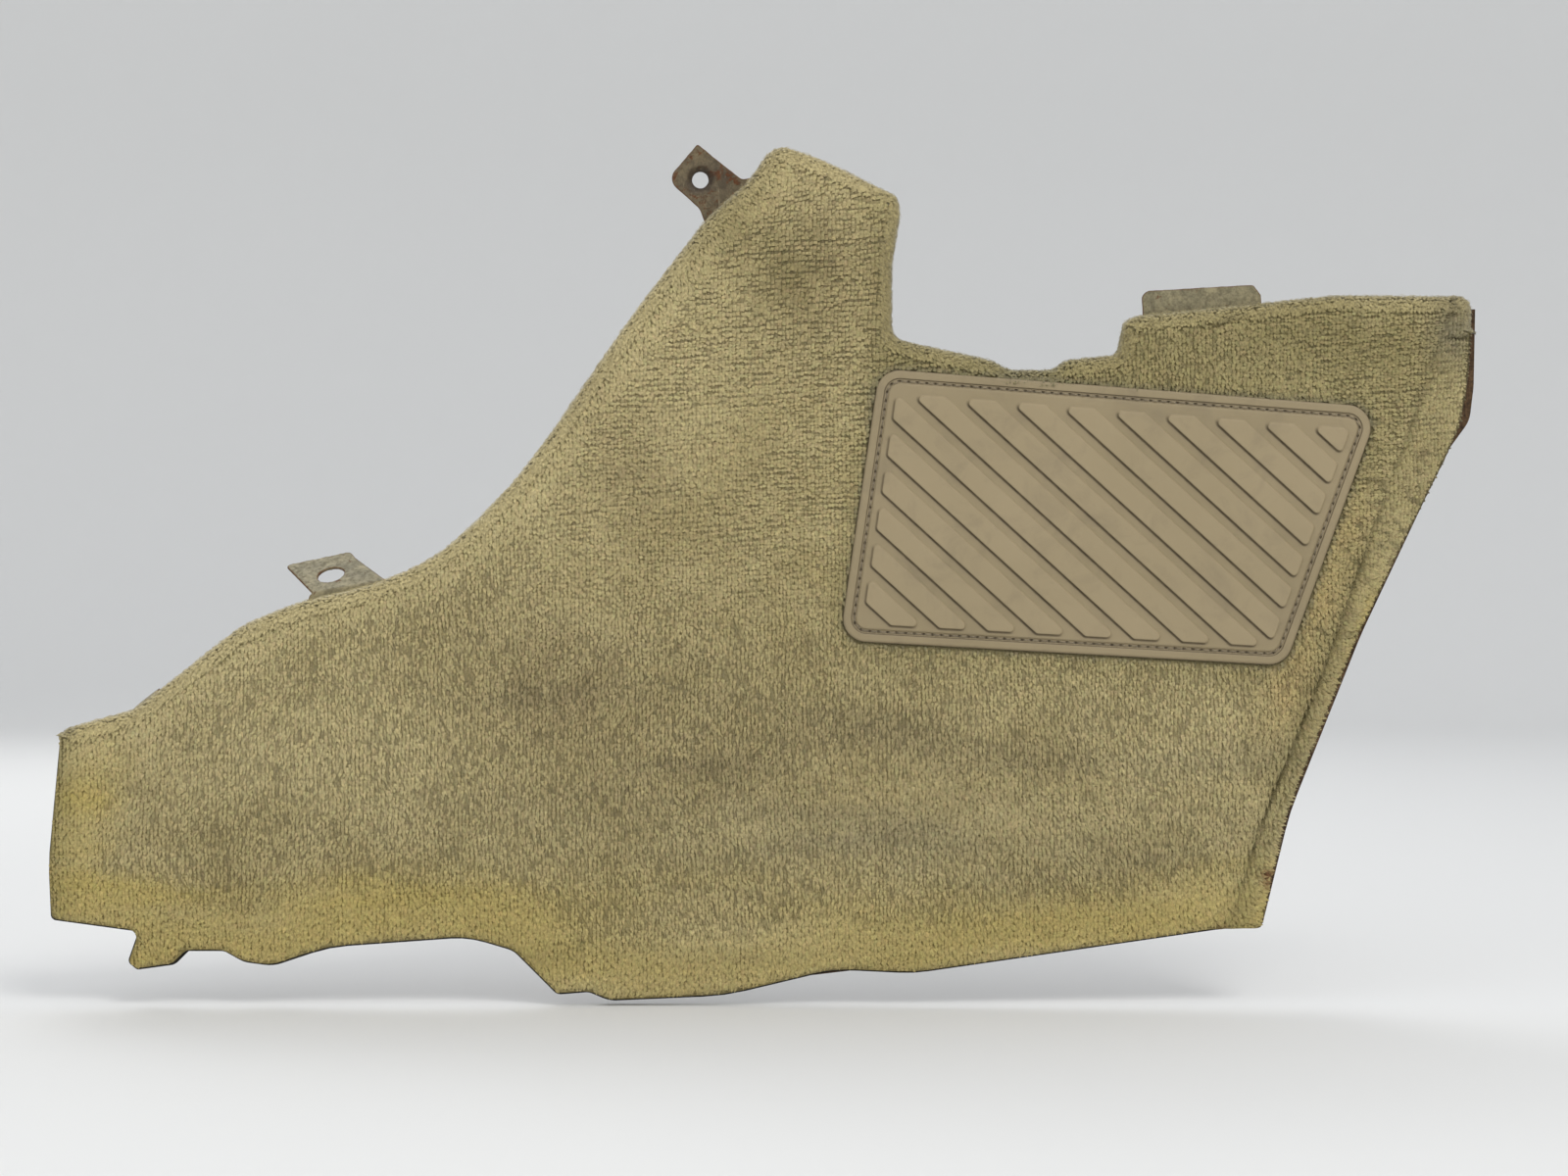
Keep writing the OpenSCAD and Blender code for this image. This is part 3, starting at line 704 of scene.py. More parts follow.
def nap(x, z):
    """The direction in which the pile lies at points of the carpet, as an angle."""
    angle = -90 + 22 * cloudy(x, z, 42, 61) + 10 * cloudy(x, z, 9, 62)
    angle = angle + smooth(z, -130, -40) * smooth(150 - x, 0, 40) * 30
    flange = smooth(beyond_fold(np.column_stack([x, z])), -1, 3)
    return np.radians(angle * (1 - flange) + flange * (-20 + 25 * cloudy(x, z, 15, 63)))


def tufts(name, root, normal, lean, height, length, width, colour, rng):
    """Small bent, pointed clumps of fibres, one at each root, as closed shells."""
    side = unit(np.cross(lean, normal))
    h, l, w = height[:, None], length[:, None], width[:, None]
    foot, belly, back = 0.42, 0.52, 0.6
    middle = root + normal * h * 0.72 + lean * l * 0.30
    tip = root + normal * h * (0.92 + 0.16 * rng.random((len(root), 1))) + lean * l
    up = normal * 0.55 - lean * 0.35
    rings = [root + side * w * foot, root + lean * w * foot,
             root - side * w * foot, root - lean * w * foot,
             middle + side * w * belly, middle - up * w * back,
             middle - side * w * belly, middle + up * w * back,
             tip]
    quads, tris = [], [[0, 1, 2], [0, 2, 3]]
    for i in range(4):
        j = (i + 1) % 4
        quads.append([i, j, 4 + j, 4 + i])
        tris.append([4 + i, 4 + j, 8])
    # Painted shade at the roots and on the underside of each tuft's middle, and a painted
    # highlight at the tips
    shade = np.array([0.92] * 4 + [0.98, 0.92, 0.98, 1.0] + [1.02])
    tint = (colour[:, None, :] * shade[None, :, None]).reshape(-1, 3)
    obj = shells(name, rings, quads, tris, tint)
    bm = bmesh.new()
    bm.from_mesh(obj.data)
    bmesh.ops.recalc_face_normals(bm, faces=bm.faces)
    bm.to_mesh(obj.data)
    bm.free()

    # A velour's fibres are lit as one soft surface, so their normals lean to the cloth's
    soft = unit(normals(obj) * 0.35 + np.repeat(normal, len(rings), axis=0) * 0.65)
    obj.data.normals_split_custom_set_from_vertices(soft.astype(np.float32))
    return obj


def hairs(name, root, normal, length, width, colour, rng, lift):
    """Loose fibres that lie near a surface, each a thin closed blade of three sides."""
    n, steps = len(root), 4
    way = laid(rng.normal(0, 1, (n, 3)), normal)
    side = np.cross(normal, way)
    curl = rng.uniform(-0.5, 0.5, (n, 1))
    reach, rings = length[:, None], []
    for k in range(steps):
        f = k / (steps - 1)
        mid = (root + way * reach * f + side * curl * reach * f * f
               + normal * reach * lift * math.sin(math.pi * (0.15 + 0.7 * f)))
        w = width[:, None] * (1 - 0.75 * f)
        rings += [mid + side * w / 2, mid - side * w / 2, mid + normal * w * 0.8]
    quads = [[3 * k + j, 3 * k + (j + 1) % 3, 3 * k + 3 + (j + 1) % 3, 3 * k + 3 + j]
             for k in range(steps - 1) for j in range(3)]
    tris = [[0, 2, 1], [3 * steps - 3, 3 * steps - 2, 3 * steps - 1]]
    return shells(name, rings, quads, tris, np.repeat(colour, len(rings), axis=0))


def front_roots(rng):
    """Roots of the pile on the carpet's front face, with the column and row of each.

    The weave's columns are 1.5 mm apart and its rows 2.06 mm, with two tufts to a row.
    """
    pitch = np.array([1.5, 1.03])
    margin = 25
    lo, hi = OUTLINE.min(0) - margin, OUTLINE.max(0) + margin
    count = ((hi - lo) / pitch).astype(int)
    column, row = (a.ravel() for a in np.meshgrid(np.arange(count[0]), np.arange(count[1])))
    p = lo + np.column_stack([column, row]) * pitch
    wave = np.column_stack([1.6 * cloudy(p[:, 0], p[:, 1], 36, 72),
                            0.06 * p[:, 0] + 1.4 * cloudy(p[:, 0], p[:, 1], 30, 71)])
    p += wave + rng.uniform(-1, 1, p.shape) * pitch * [0.16, 0.2]
    held = inside(p, OUTLINE)
    p, column, row = p[held], column[held], row[held]

    # None on the cut edges, under the pad, down the roll's side or deep in the crease
    edge, roll = path_distance(p, OUTLINE)[0], roll_distance(p)
    keep = (edge > np.where(roll < 8, 0.35, 0.8)) & ~inside(p, PAD_PATH)
    keep &= path_distance(p, PAD_PATH)[0] >= 0.5
    keep &= ~((roll < ROLL_R * 0.42) & (np.abs(edge - roll) < 1.0))
    keep &= crease(p[:, 0], p[:, 1]) < 0.6
    return p[keep], column[keep], row[keep]


def surface_roots(obj, count, rng, apart, pick):
    """Roots spread over the faces of a body that pick accepts, no two too close."""
    mesh = obj.data
    mesh.calc_loop_triangles()
    tri = np.empty(len(mesh.loop_triangles) * 3, np.int32)
    mesh.loop_triangles.foreach_get("vertices", tri)
    tri = tri.reshape(-1, 3)
    co = coords(obj)
    a, b, c = (co[tri[:, k]] for k in range(3))
    cross = np.cross(b - a, c - a)
    area = np.linalg.norm(cross, axis=1)
    normal = cross / np.maximum(area, 1e-12)[:, None]
    picked = np.where(pick((a + b + c) / 3, normal))[0]
    chosen = picked[rng.choice(len(picked), count, p=area[picked] / area[picked].sum())]
    u, v = rng.random(count), rng.random(count)
    flip = u + v > 1
    u[flip], v[flip] = 1 - u[flip], 1 - v[flip]
    p = a[chosen] + (b - a)[chosen] * u[:, None] + (c - a)[chosen] * v[:, None]
    vn = unit(normals(obj)[tri[chosen]].mean(1))

    # One root is kept in each cell of a grid
    cell = np.floor(p / apart).astype(np.int64)
    key = cell[:, 0] * 73856093 ^ cell[:, 1] * 19349663 ^ cell[:, 2] * 83492791
    first = np.sort(np.unique(key, return_index=True)[1])
    return p[first], vn[first]


def front_pile(rng):
    """The pile of the front face, made in flat coordinates and bent with the flange."""
    p, column, row = front_roots(rng)
    n, x, z = len(p), p[:, 0], p[:, 1]
    s, roll = beyond_fold(p), roll_distance(p)
    edge, near = path_distance(p, OUTLINE)
    outward = (near - p) / np.maximum(edge, 1e-6)[:, None]

    # On the rolled edge the roots drop with the cloth, and the tufts tilt outwards
    on_roll = (roll < ROLL_R) & rolls(edge, roll)
    drop = np.where(on_roll, ROLL_R - np.sqrt(np.maximum(
        0, ROLL_R ** 2 - (ROLL_R - roll) ** 2)), 0) * 0.9
    tilt = np.where(on_roll, np.clip(1 - roll / ROLL_R, 0, 1), 0)
    deep = crease(x, z)
    hills = swell(x, z) * smooth(edge, -1, 8)
    root = np.column_stack([x, np.full(n, Y_PILE) + PILE_H - 0.1 + drop - hills + 0.3 * deep, z])
    normal = np.column_stack([outward[:, 0] * tilt, -np.ones(n), outward[:, 1] * tilt])
    normal = unit(normal + rng.normal(0, 0.10, (n, 3)))

    # The tufts lean with the nap, but not far over a cut edge
    way = nap(x, z) + rng.normal(0, 0.16, n)
    lean = np.column_stack([np.cos(way), np.zeros(n), np.sin(way)])
    cut = smooth(3.6 - edge, 0, 2.0) * ~on_roll
    beyond = np.maximum(0, (lean[:, [0, 2]] * outward).sum(1)) * np.minimum(1, 1.3 * cut)
    lean[:, [0, 2]] += outward * (0.6 * tilt - beyond)[:, None]
    lean = laid(lean, normal)

    # Wear, flecks, level rows and the crease change the tufts' size and colour; tufts in the
    # flecks' gaps get painted shade
    clump = cloudy(x, z, 5, 81)
    worn = np.clip(0.5 + 0.6 * cloudy(x, z, 38, 82), 0, 1)
    still = calm(x, z)
    gap = flecks(x, z, column, row) * (1 - 0.8 * still)
    level = level_share(x, z) * (1 - still)
    height = PILE_H * (1 + 0.05 * clump + rng.normal(0, 0.05, n) * (1 - 0.6 * still))
    height *= (1 - 0.45 * deep) * (1 - (0.2 + 0.04 * level) * gap)
    length = (FRONT_TUFT_LENGTH + 0.6 * clump + rng.normal(0, 0.4, n)) * (0.75 + 0.4 * worn)
    length *= (1 - 0.45 * cut) * (1 - 0.48 * level)
    width = FRONT_TUFT_WIDTH * (1 + rng.normal(0, 0.14, n))
    width *= (1 + 0.6 * level + 0.35 * still) * (1 - 0.35 * cut)
    colour = pile_colour(x, z) * (1 + rng.normal(0, 0.05, (n, 1)) * (1 - 0.5 * still[:, None]))
    colour = colour * (1 + rng.normal(0, 0.015, (n, 3)))
    # Tufts in the gaps are painted darker, a painted shade
    colour = colour * (1 - (0.4 + 0.1 * level) * gap)[:, None]
    root, normal, lean = bent(root), turned_to_flange(normal, s), turned_to_flange(lean, s)
    values = (root, normal, lean, height, length, width, colour)
    return [tufts(f"pile_front_{k + 1}", *(v[rows] for v in values), rng)
            for k, rows in enumerate(np.array_split(np.argsort(x, kind="stable"), 4))]


def on_edge(centre, normal):
    """Faces of the rolled edge, between the front and the hem behind."""
    flat = unbent(centre)
    xz, depth = flat[:, [0, 2]], flat[:, 1]
    roll, near = path_distance(xz, ROLL_PATH, closed=False)
    faces_out = (normal[:, [0, 2]] * (near - xz)).sum(1) > -0.4
    beside = rolls(path_distance(xz, OUTLINE)[0], roll)
    return (roll < 5.4) & beside & faces_out & (depth > Y_PILE + 1.3) & (depth < Y_HEM - 0.8)


def on_hem(centre, normal):
    """Faces of the hem's outer side, which looks to the rear."""
    return (normal[:, 1] > 0.55) & (centre[:, 1] > -1.4)


def edge_pile(name, body, pick, count, apart, tall, rng):
    """Pile on the picked faces of the carpet's body, about tall mm high."""
    q, normal = surface_roots(body, count, rng, apart, pick)
    n, flat = len(q), unbent(q)
    way = nap(flat[:, 0], flat[:, 2]) + rng.normal(0, 0.2, n)
    lean = laid(np.column_stack([np.cos(way), rng.normal(0, 0.1, n), np.sin(way)]), normal)
    clump = cloudy(q[:, 0], q[:, 2], 5, 83)
    height = tall * (1 + 0.06 * clump + rng.normal(0, 0.05, n))
    length = EDGE_TUFT_LENGTH + 0.4 * clump + rng.normal(0, 0.3, n)
    width = EDGE_TUFT_WIDTH * (1 + rng.normal(0, 0.12, n))
    colour = pile_colour(flat[:, 0], flat[:, 2]) * (1 + rng.normal(0, 0.05, (n, 1)))
    return tufts(name, q - normal * 0.3, normal, lean, height, length, width, colour, rng)


def roll_fuzz(body, rng):
    """Loose fibres that stand off the rolled edge."""
    q, normal = surface_roots(body, 16000, rng, 1.0, on_edge)
    n, flat = len(q), unbent(q)
    colour = pile_colour(flat[:, 0], flat[:, 2]) * (1.05 + rng.normal(0, 0.05, (n, 1)))
    return hairs("pile_fuzz", q + normal * 0.9, normal, rng.uniform(1.4, 3.0, n),
                 rng.uniform(0.10, 0.20, n), colour, rng, lift=0.42)


def carpet():
    body, rng = carpet_body(), np.random.default_rng(7)
    pieces = front_pile(rng)
    pieces.append(edge_pile("pile_roll", body, on_edge, 70000, 0.95, 1.75, rng))
    pieces.append(edge_pile("pile_hem", body, on_hem, 60000, 1.2, 1.5, rng))
    pieces.append(roll_fuzz(body, rng))
    for piece in pieces:
        finished(piece, "pile", "carpet_pile")
    finished(body, "backing", "carpet_pile", "carpet")


# ---- heel pad ---------------------------------------------------------------------------

CHANNEL_Y = Y_PAD + CHANNEL_D - 0.2
RIB_TOP = Y_PAD - RIB_H + 0.25
PAD_MIDDLE = np.mean(PAD, axis=0)

# Rows of the pad from its rim inwards: inset, depth, and dirt with painted shade, darkest at the
# pad's foot and the stitch channel's outer wall
PAD_PROFILE = ((0.0, Y_PAD + 0.85, 0.9), (0.12, Y_PAD + 0.5, 0.5), (0.42, Y_PAD + 0.15, 0.2),
               (0.85, Y_PAD, 0.1), (1.3, Y_PAD, 0.05), (2.7, Y_PAD, 0.05),
               (3.15, Y_PAD, 0.06), (3.34, Y_PAD + 0.08, 0.45), (3.46, CHANNEL_Y - 0.12, 0.95),
               (3.62, CHANNEL_Y, 0.6), (3.86, CHANNEL_Y, 0.08), (5.05, CHANNEL_Y, 0.10),
               (5.25, CHANNEL_Y - 0.1, 0.25), (5.45, Y_PAD + 0.1, 0.15), (5.75, Y_PAD, 0.05),
               (6.3, Y_PAD, 0.04))
# Rows of a needle hole: radius, depth, and dirt with painted shade, darkest deep in the hole
HOLE_PROFILE = ((1.0, CHANNEL_Y, 0.7), (0.8, CHANNEL_Y + 0.25, 1.0), (0.5, CHANNEL_Y + 0.9, 1.0))
# Rows of a rib: inset, depth, dirt, and painted shade where it faces down and to the rear
RIB_PROFILE = ((-0.7, Y_PAD, 0.06, 0.0), (-0.2, Y_PAD, 0.1, 0.75), (0.0, Y_PAD - 0.12, 0.06, 0.95),
               (0.3, RIB_TOP + 0.25, 0.03, 0.9), (0.5, RIB_TOP + 0.05, 0.0, 0.15),
               (0.75, RIB_TOP, 0.0, 0.0), (1.3, RIB_TOP, 0.0, 0.0))


def clipped(polygon, point, direction):
    """The part of a convex polygon where (p - point) . direction is positive."""
    out = []
    for i, p in enumerate(polygon):
        q = polygon[(i + 1) % len(polygon)]
        a, b = (p - point) @ direction, (q - point) @ direction
        if a >= 0:
            out.append(p)
        if a * b < 0:
            out.append(p + (q - p) * a / (a - b))
    return out


def rib_outlines():
    """The corners of the raised ribs: strips of the pad's inner field, cut on the slant."""
    field = [np.array(c[:2]) + RIB_OFFSET for c in inset(PAD_BASE, RIB_MARGIN)]
    across = np.array([math.sin(RIB_SLOPE), math.cos(RIB_SLOPE)])
    found = []
    for k in range(-9, 10):
        low = (k - 0.5) * RIB_PITCH + RIB_GAP / 2 + RIB_SHIFT
        strip = clipped(field, PAD_MIDDLE + across * low, across)
        strip = clipped(strip, PAD_MIDDLE + across * (low + RIB_PITCH - RIB_GAP), -across)
        kept = [p for i, p in enumerate(strip) if np.linalg.norm(p - strip[i - 1]) > 0.8]
        area = 0.5 * abs(sum(p[0] * q[1] - q[0] * p[1]
                             for p, q in zip(kept, kept[1:] + kept[:1])))
        if area > 25:
            found.append([[p[0], p[1], 0] for p in kept])
    return found


def corner_radii(corners, r):
    """Radii small enough for a polygon's own corners and edges."""
    n, out = len(corners), []
    for i, c in enumerate(corners):
        a, p, b = (np.array(corners[j % n][:2]) for j in (i - 1, i, i + 1))
        u, w = edge_ways(a, p, b)
        half = math.acos(max(-1, min(1, float(u @ w)))) / 2
        room = 0.42 * min(np.linalg.norm(p - a), np.linalg.norm(b - p))
        out.append([c[0], c[1], min(r, room / max(math.tan(half), 0.05))])
    return out


class PadPlan:
    """The pad seen square on: points with a depth and dirt with painted shade at each, and closed
    rows of them.
    """

    def __init__(self):
        self.points, self.levels, self.dirt, self.edges = [], [], [], []

    def point(self, q, y, soil_and_shade):
        self.points.append(Vector((float(q[0]), float(q[1]))))
        self.levels.append(y)
        self.dirt.append(min(1.0, soil_and_shade))

    def ring(self, path, y, soil_and_shade, shaded=0.0):
        """A closed row of points; shaded adds painted shade where it faces down and to the rear.
        """
        start, n = len(self.points), len(path)
        for i, q in enumerate(path):
            d = path[(i + 1) % n] - path[i - 1]
            out = np.array([-d[1], d[0]]) / max(np.linalg.norm(d), 1e-9)
            self.point(q, y, soil_and_shade + shaded * max(0.0, float(out @ [-0.67, -0.74])))
        self.edges.extend((start + i, start + (i + 1) % n) for i in range(n))

    def fill(self, ribs):
        """Points in even triangles inside the flat parts, for their soft unevenness."""
        taken = np.array([[p.x, p.y] for p in self.points])
        lo, hi, step = PAD_PATH.min(0), PAD_PATH.max(0), 2.1
        row_step = 0.87 * step
        gx, gz = np.meshgrid(np.arange(lo[0], hi[0], step), np.arange(lo[1], hi[1], row_step))
        gx = gx + (np.arange(gx.shape[0]) % 2)[:, None] * step / 2
        g = np.column_stack([gx.ravel(), gz.ravel()])
        g = g[inside(g, rounded(inset(PAD_BASE, 6.6)))]
        g = g[np.array([((taken - q) ** 2).sum(1).min() > 0.8 for q in g])]
        on_top = np.zeros(len(g), bool)
        for rib in ribs:
            on_top |= inside(g, np.array([c[:2] for c in inset(rib, 0.9)]))
        for q, high in zip(g, on_top):
            self.point(q, RIB_TOP if high else Y_PAD, 0.0 if high else 0.06)

    def surface(self):
        """The pad's face as flat points, their depths, their dirt with painted shade, and
        triangles.
        """
        made = geometry.delaunay_2d_cdt(self.points, self.edges, [], 0, 1e-5, True)
        flat = np.array([[v.x, v.y] for v in made[0]])
        y = np.array([self.levels[o[0]] if o else Y_PAD for o in made[3]])
        soil_and_shade = np.array([self.dirt[o[0]] if o else 0.0 for o in made[3]])
        tris = np.array([list(f)[::-1] for f in made[2]])
        rim = resampled(rounded(inset(PAD_BASE, -0.01), 6), 1.1)
        tris = tris[inside(flat[tris].mean(1), rim)]
        y = y + 0.05 * cloudy(*flat.T, 22, 91) + 0.02 * cloudy(*flat.T, 5, 92)
        return flat, y, soil_and_shade, tris


def pad_plan(stitch):
    """The plan of the pad's rim, its stitch channel and needle holes, and its ribs."""
    plan = PadPlan()
    for d, y, soil_and_shade in PAD_PROFILE:
        plan.ring(resampled(rounded(inset(PAD_BASE, d), 6), 1.1), y, soil_and_shade)
    for i, q in enumerate(stitch):
        d = stitch[(i + 1) % len(stitch)] - stitch[i - 1]
        d /= np.linalg.norm(d)
        aside = np.array([-d[1], d[0]])
        for r, y, soil_and_shade in HOLE_PROFILE:
            plan.ring([q + r * (d * 0.85 * math.cos(t) + aside * 0.5 * math.sin(t))
                       for t in np.arange(8) * TAU / 8], y, soil_and_shade)
    ribs = rib_outlines()
    for rib in ribs:
        for d, y, soil_and_shade, shaded in RIB_PROFILE:
            corners = corner_radii(inset(rib, d), max(0.4, 1.9 - d))
            plan.ring(resampled(rounded(corners, 12), 0.75), y, soil_and_shade, shaded)
    plan.fill(ribs)
    return plan


def pad_moulding(stitch):
    """The pad as one closed shell, with its side wall and back below the outermost row."""
    flat, y, soil_and_shade, tris = pad_plan(stitch).surface()
    bm = bmesh.new()
    verts = [bm.verts.new(c) for c in np.column_stack([flat[:, 0], y, flat[:, 1]])]
    for t in tris:
        bm.faces.new([verts[i] for i in t])
    bmesh.ops.delete(bm, geom=[v for v in bm.verts if not v.link_faces], context="VERTS")
    rim = [e for e in bm.edges if len(e.link_faces) == 1]
    for depth in (Y_PAD + 1.4, Y_PAD_BACK - 0.2):
        out = bmesh.ops.extrude_edge_only(bm, edges=rim)["geom"]
        for v in (g for g in out if isinstance(g, bmesh.types.BMVert)):
            v.co.y = depth
        rim = [g for g in out if isinstance(g, bmesh.types.BMEdge)]
    bmesh.ops.holes_fill(bm, edges=rim, sides=0)
    bmesh.ops.recalc_face_normals(bm, faces=bm.faces)
    bmesh.ops.triangulate(bm, faces=[f for f in bm.faces if len(f.verts) > 4])
    mesh = bpy.data.meshes.new("heel_pad_moulding")
    bm.to_mesh(mesh)
    bm.free()

    # The tint holds the dirt with painted shade, the wear and how far each vertex stands on a rib
    co = np.array([v.co for v in mesh.vertices])
    known = {(round(a, 3), round(b, 3)): s for (a, b), s in zip(flat, soil_and_shade)}
    amount = np.array([known.get((round(float(a), 3), round(float(b), 3)), 0.5)
                       for a, _, b in co])
    # The side wall and back, sunk in the pile, get painted shade
    amount = np.where(co[:, 1] > Y_PAD + 1.0, np.maximum(amount, 0.9), amount)
    wear = 0.5 + 0.5 * cloudy(co[:, 0], co[:, 2], 30, 93)
    raised = smooth(RIB_TOP + 0.35 - co[:, 1], 0, 0.3)
    write_tint(mesh, np.clip(np.column_stack([amount, wear, raised]), 0, 1))
    mesh.vertices.foreach_set("co", (co * MM).astype(np.float32).ravel())
    mesh.shade_smooth()
    mesh.update()
    finished(linked(mesh.name, mesh), "vinyl", "pad_vinyl", "heel_pad")


def pad_stitches(stitch):
    """The top stitches: each rises out of one needle hole and dives into the next."""
    n, sides, along, thick = len(stitch), 8, 9, 0.29
    co, quads = [], []
    rng = np.random.default_rng(3)
    for i in range(n):
        a, b = stitch[i], stitch[(i + 1) % n]
        d = (b - a) / np.linalg.norm(b - a)
        aside = np.array([-d[1], d[0]])
        across = aside * rng.normal(0, 0.05)
        first = len(co)
        for k in range(along):
            f = k / (along - 1)
            lift = math.sin(math.pi * f) ** 0.45
            steep = math.cos(math.pi * f) * (1 - lift)
            q = a + (b - a) * (0.07 + 0.86 * f) + across * lift
            y = CHANNEL_Y + 0.75 - 1.03 * lift
            for t in np.arange(sides) * TAU / sides:
                off = aside * math.cos(t) * thick + d * steep * math.sin(t) * thick
                co.append([q[0] + off[0], y - math.sin(t) * thick * (1 - abs(steep)),
                           q[1] + off[1]])
        for k in range(first, len(co) - sides, sides):
            for j in range(sides):
                m = (j + 1) % sides
                quads.append([k + j, k + m, k + sides + m, k + sides + j])
    seam = mesh_object("heel_pad_stitches", co, [np.array(quads)])
    finished(seam, "thread", "thread", "heel_pad_thread")


# ---- felt, tabs, fasteners and board ----------------------------------------------------

def felt_pad(node, name, seed):
    """A felt pad with a lumpy surface and loose fibres on it."""
    obj = softened(node, name, voxel=1.7, passes=3)
    co = coords(obj)
    x, y, z = co.T
    lump = (0.35 * cloudy(x, z, 26, seed) + 0.22 * cloudy(x + y, z, 5, seed + 1)
            + 0.12 * cloudy(x, z + y, 2.4, seed + 2))
    free = smooth(y, Y_BACK + 0.3, Y_BACK + 1.5)
    set_coords(obj, co + normals(obj) * (lump * free)[:, None])
    finished(obj, "felt", "felt", node)

    rng, per_mm2 = np.random.default_rng(seed), 0.13
    lo, hi = (np.array(v) * 1000 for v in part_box(node))
    count = int((hi[0] - lo[0]) * (hi[2] - lo[2]) * per_mm2)
    root, normal = surface_roots(obj, count, rng, 0.9, lambda c, _: c[:, 1] > Y_BACK + 1.0)
    n = len(root)
    shades = np.array([srgb(120, 118, 114), srgb(84, 84, 86), srgb(150, 146, 138),
                       srgb(104, 88, 72), srgb(70, 82, 96)])
    colour = shades[rng.choice(len(shades), n, p=[0.38, 0.3, 0.17, 0.1, 0.05])]
    fuzz = hairs(name + "_fuzz", root - normal * 0.1, normal, rng.uniform(1.8, 4.5, n),
                 rng.uniform(0.12, 0.22, n), colour, rng, lift=0.12)
    finished(fuzz, "fibre", "felt")


def worn_steel(node, name, mat, seed):
    """A tab with softened, slightly dented edges and a pitted face."""
    obj = softened(node, name, voxel=0.42, passes=2)
    co = coords(obj)
    a, b = co[:, 0] + 0.7 * co[:, 1], co[:, 2] - 0.6 * co[:, 1]
    rough = (0.07 * cloudy(a, b, 2.2, seed) + 0.10 * cloudy(a, b, 9, seed + 3)
             - 0.10 * smooth(cloudy(a, b, 3.1, seed + 6), 0.35, 0.7))
    set_coords(obj, co + normals(obj) * rough[:, None])
    finished(obj, mat, "painted_steel", node)


def bent_wire(node, name, mat, slot):
    """Staples with their wire's edges bevelled."""
    bevel = {"width": 0.16 * MM, "segments": 2, "limit_method": "ANGLE", "angle_limit": 0.6,
             "harden_normals": False}
    obj = with_modifiers(cad_copy(node, name), ("BEVEL", bevel))
    obj.data.shade_flat()
    finished(obj, mat, slot, node)


def dress_node(node, mat):
    """Gives a CAD node that stays a better material."""
    for slot in NODES[node].material_slots:
        slot.material = MATS[mat]


# ---- materials of the parts -----------------------------------------------------------

def pile_material():
    m = Shader("velour_pile", Roughness=0.9, Sheen_Weight=0.35, Sheen_Roughness=0.5,
               Specular_IOR_Level=0.2)
    color = m.shaded(m.tint(), m.noise(900), (0.3, 0.84), (0.7, 1.18))
    color = m.shaded(color, m.noise(3800, 2, at=m.scaled(1, 1, 0.45)), (0.3, 0.8), (0.7, 1.15))
    rough = m.ramp(m.noise(1500, 2), (0.3, 0.82), (0.7, 0.98))
    height = m.noise(5200, 2, at=m.scaled(1, 1, 0.35))
    return m.done(color, rough, m.bump(height, 0.5, 0.25))


def backing_material():
    m = Shader("carpet_cloth", Roughness=0.95, Specular_IOR_Level=0.15)
    weave = m.noise(1400)
    base = m.over(m.tint(), srgb(118, 106, 70), m.noise(40), 0.35, 0.65, 0.25)
    color = m.shaded(base, weave, (0.3, 0.55), (0.7, 1.15))
    rough = m.ramp(weave, (0.2, 0.9), (0.8, 1.0))
    return m.done(color, rough, m.bump(weave, 0.8, 0.6))


def vinyl_material():
    m = Shader("moulded_vinyl", Specular_IOR_Level=0.42)
    tint = m.add("ShaderNodeSeparateColor", Color=m.tint())
    soil_and_shade, wear, raised = (tint.outputs[i] for i in range(3))
    beige = m.over(srgb(148, 133, 101), srgb(158, 142, 110), m.noise(24, 4), 0.3, 0.7)
    # Rib tops are painted lighter, a painted highlight
    beige = m.mix(m.times(raised, 0.4), beige, srgb(164, 147, 115))
    smudge = m.noise(60, 5, 0.65, distort=0.6)
    beige = m.over(beige, srgb(130, 117, 92), smudge, 0.5, 0.72, 0.45)
    specks = m.ramp(m.cells(700), (0.0, 0.35), (0.12, 0.0))
    beige = m.mix(specks, beige, srgb(114, 101, 78))
    # Dirt and painted shade: the pad's foot, the channel's wall, the needle holes and the ribs'
    # lower walls are painted dark
    dirt = m.times(soil_and_shade, m.ramp(m.noise(260), (0.25, 0.75), (0.75, 1.0)))
    color = m.mix(dirt, beige, srgb(72, 60, 43))
    rough = m.plus(m.ramp(m.noise(420), (0.3, 0.5), (0.7, 0.62)), m.times(wear, 0.06))
    grain = m.plus(m.cells(2100, "SMOOTH_F1"), m.noise(3400, 2))
    low = m.bump(m.noise(160), 0.25, 0.35)
    return m.done(color, rough, m.bump(grain, 0.35, 0.07, low))


def thread_material():
    m = Shader("seam_thread", Roughness=0.75, Sheen_Weight=0.3)
    lay = m.add("ShaderNodeTexWave", Vector=m.scaled(1, 1, 1, 0.8), Scale=900,
                Distortion=1.5).outputs["Fac"]
    color = m.mix(lay, srgb(124, 110, 84), srgb(152, 138, 110))
    color = m.over(color, srgb(84, 70, 52), m.noise(300, 2), 0.45, 0.7, 0.6)
    rough = m.ramp(m.noise(900), (0.3, 0.65), (0.7, 0.85))
    return m.done(color, rough, m.bump(lay, 0.6, 0.08))


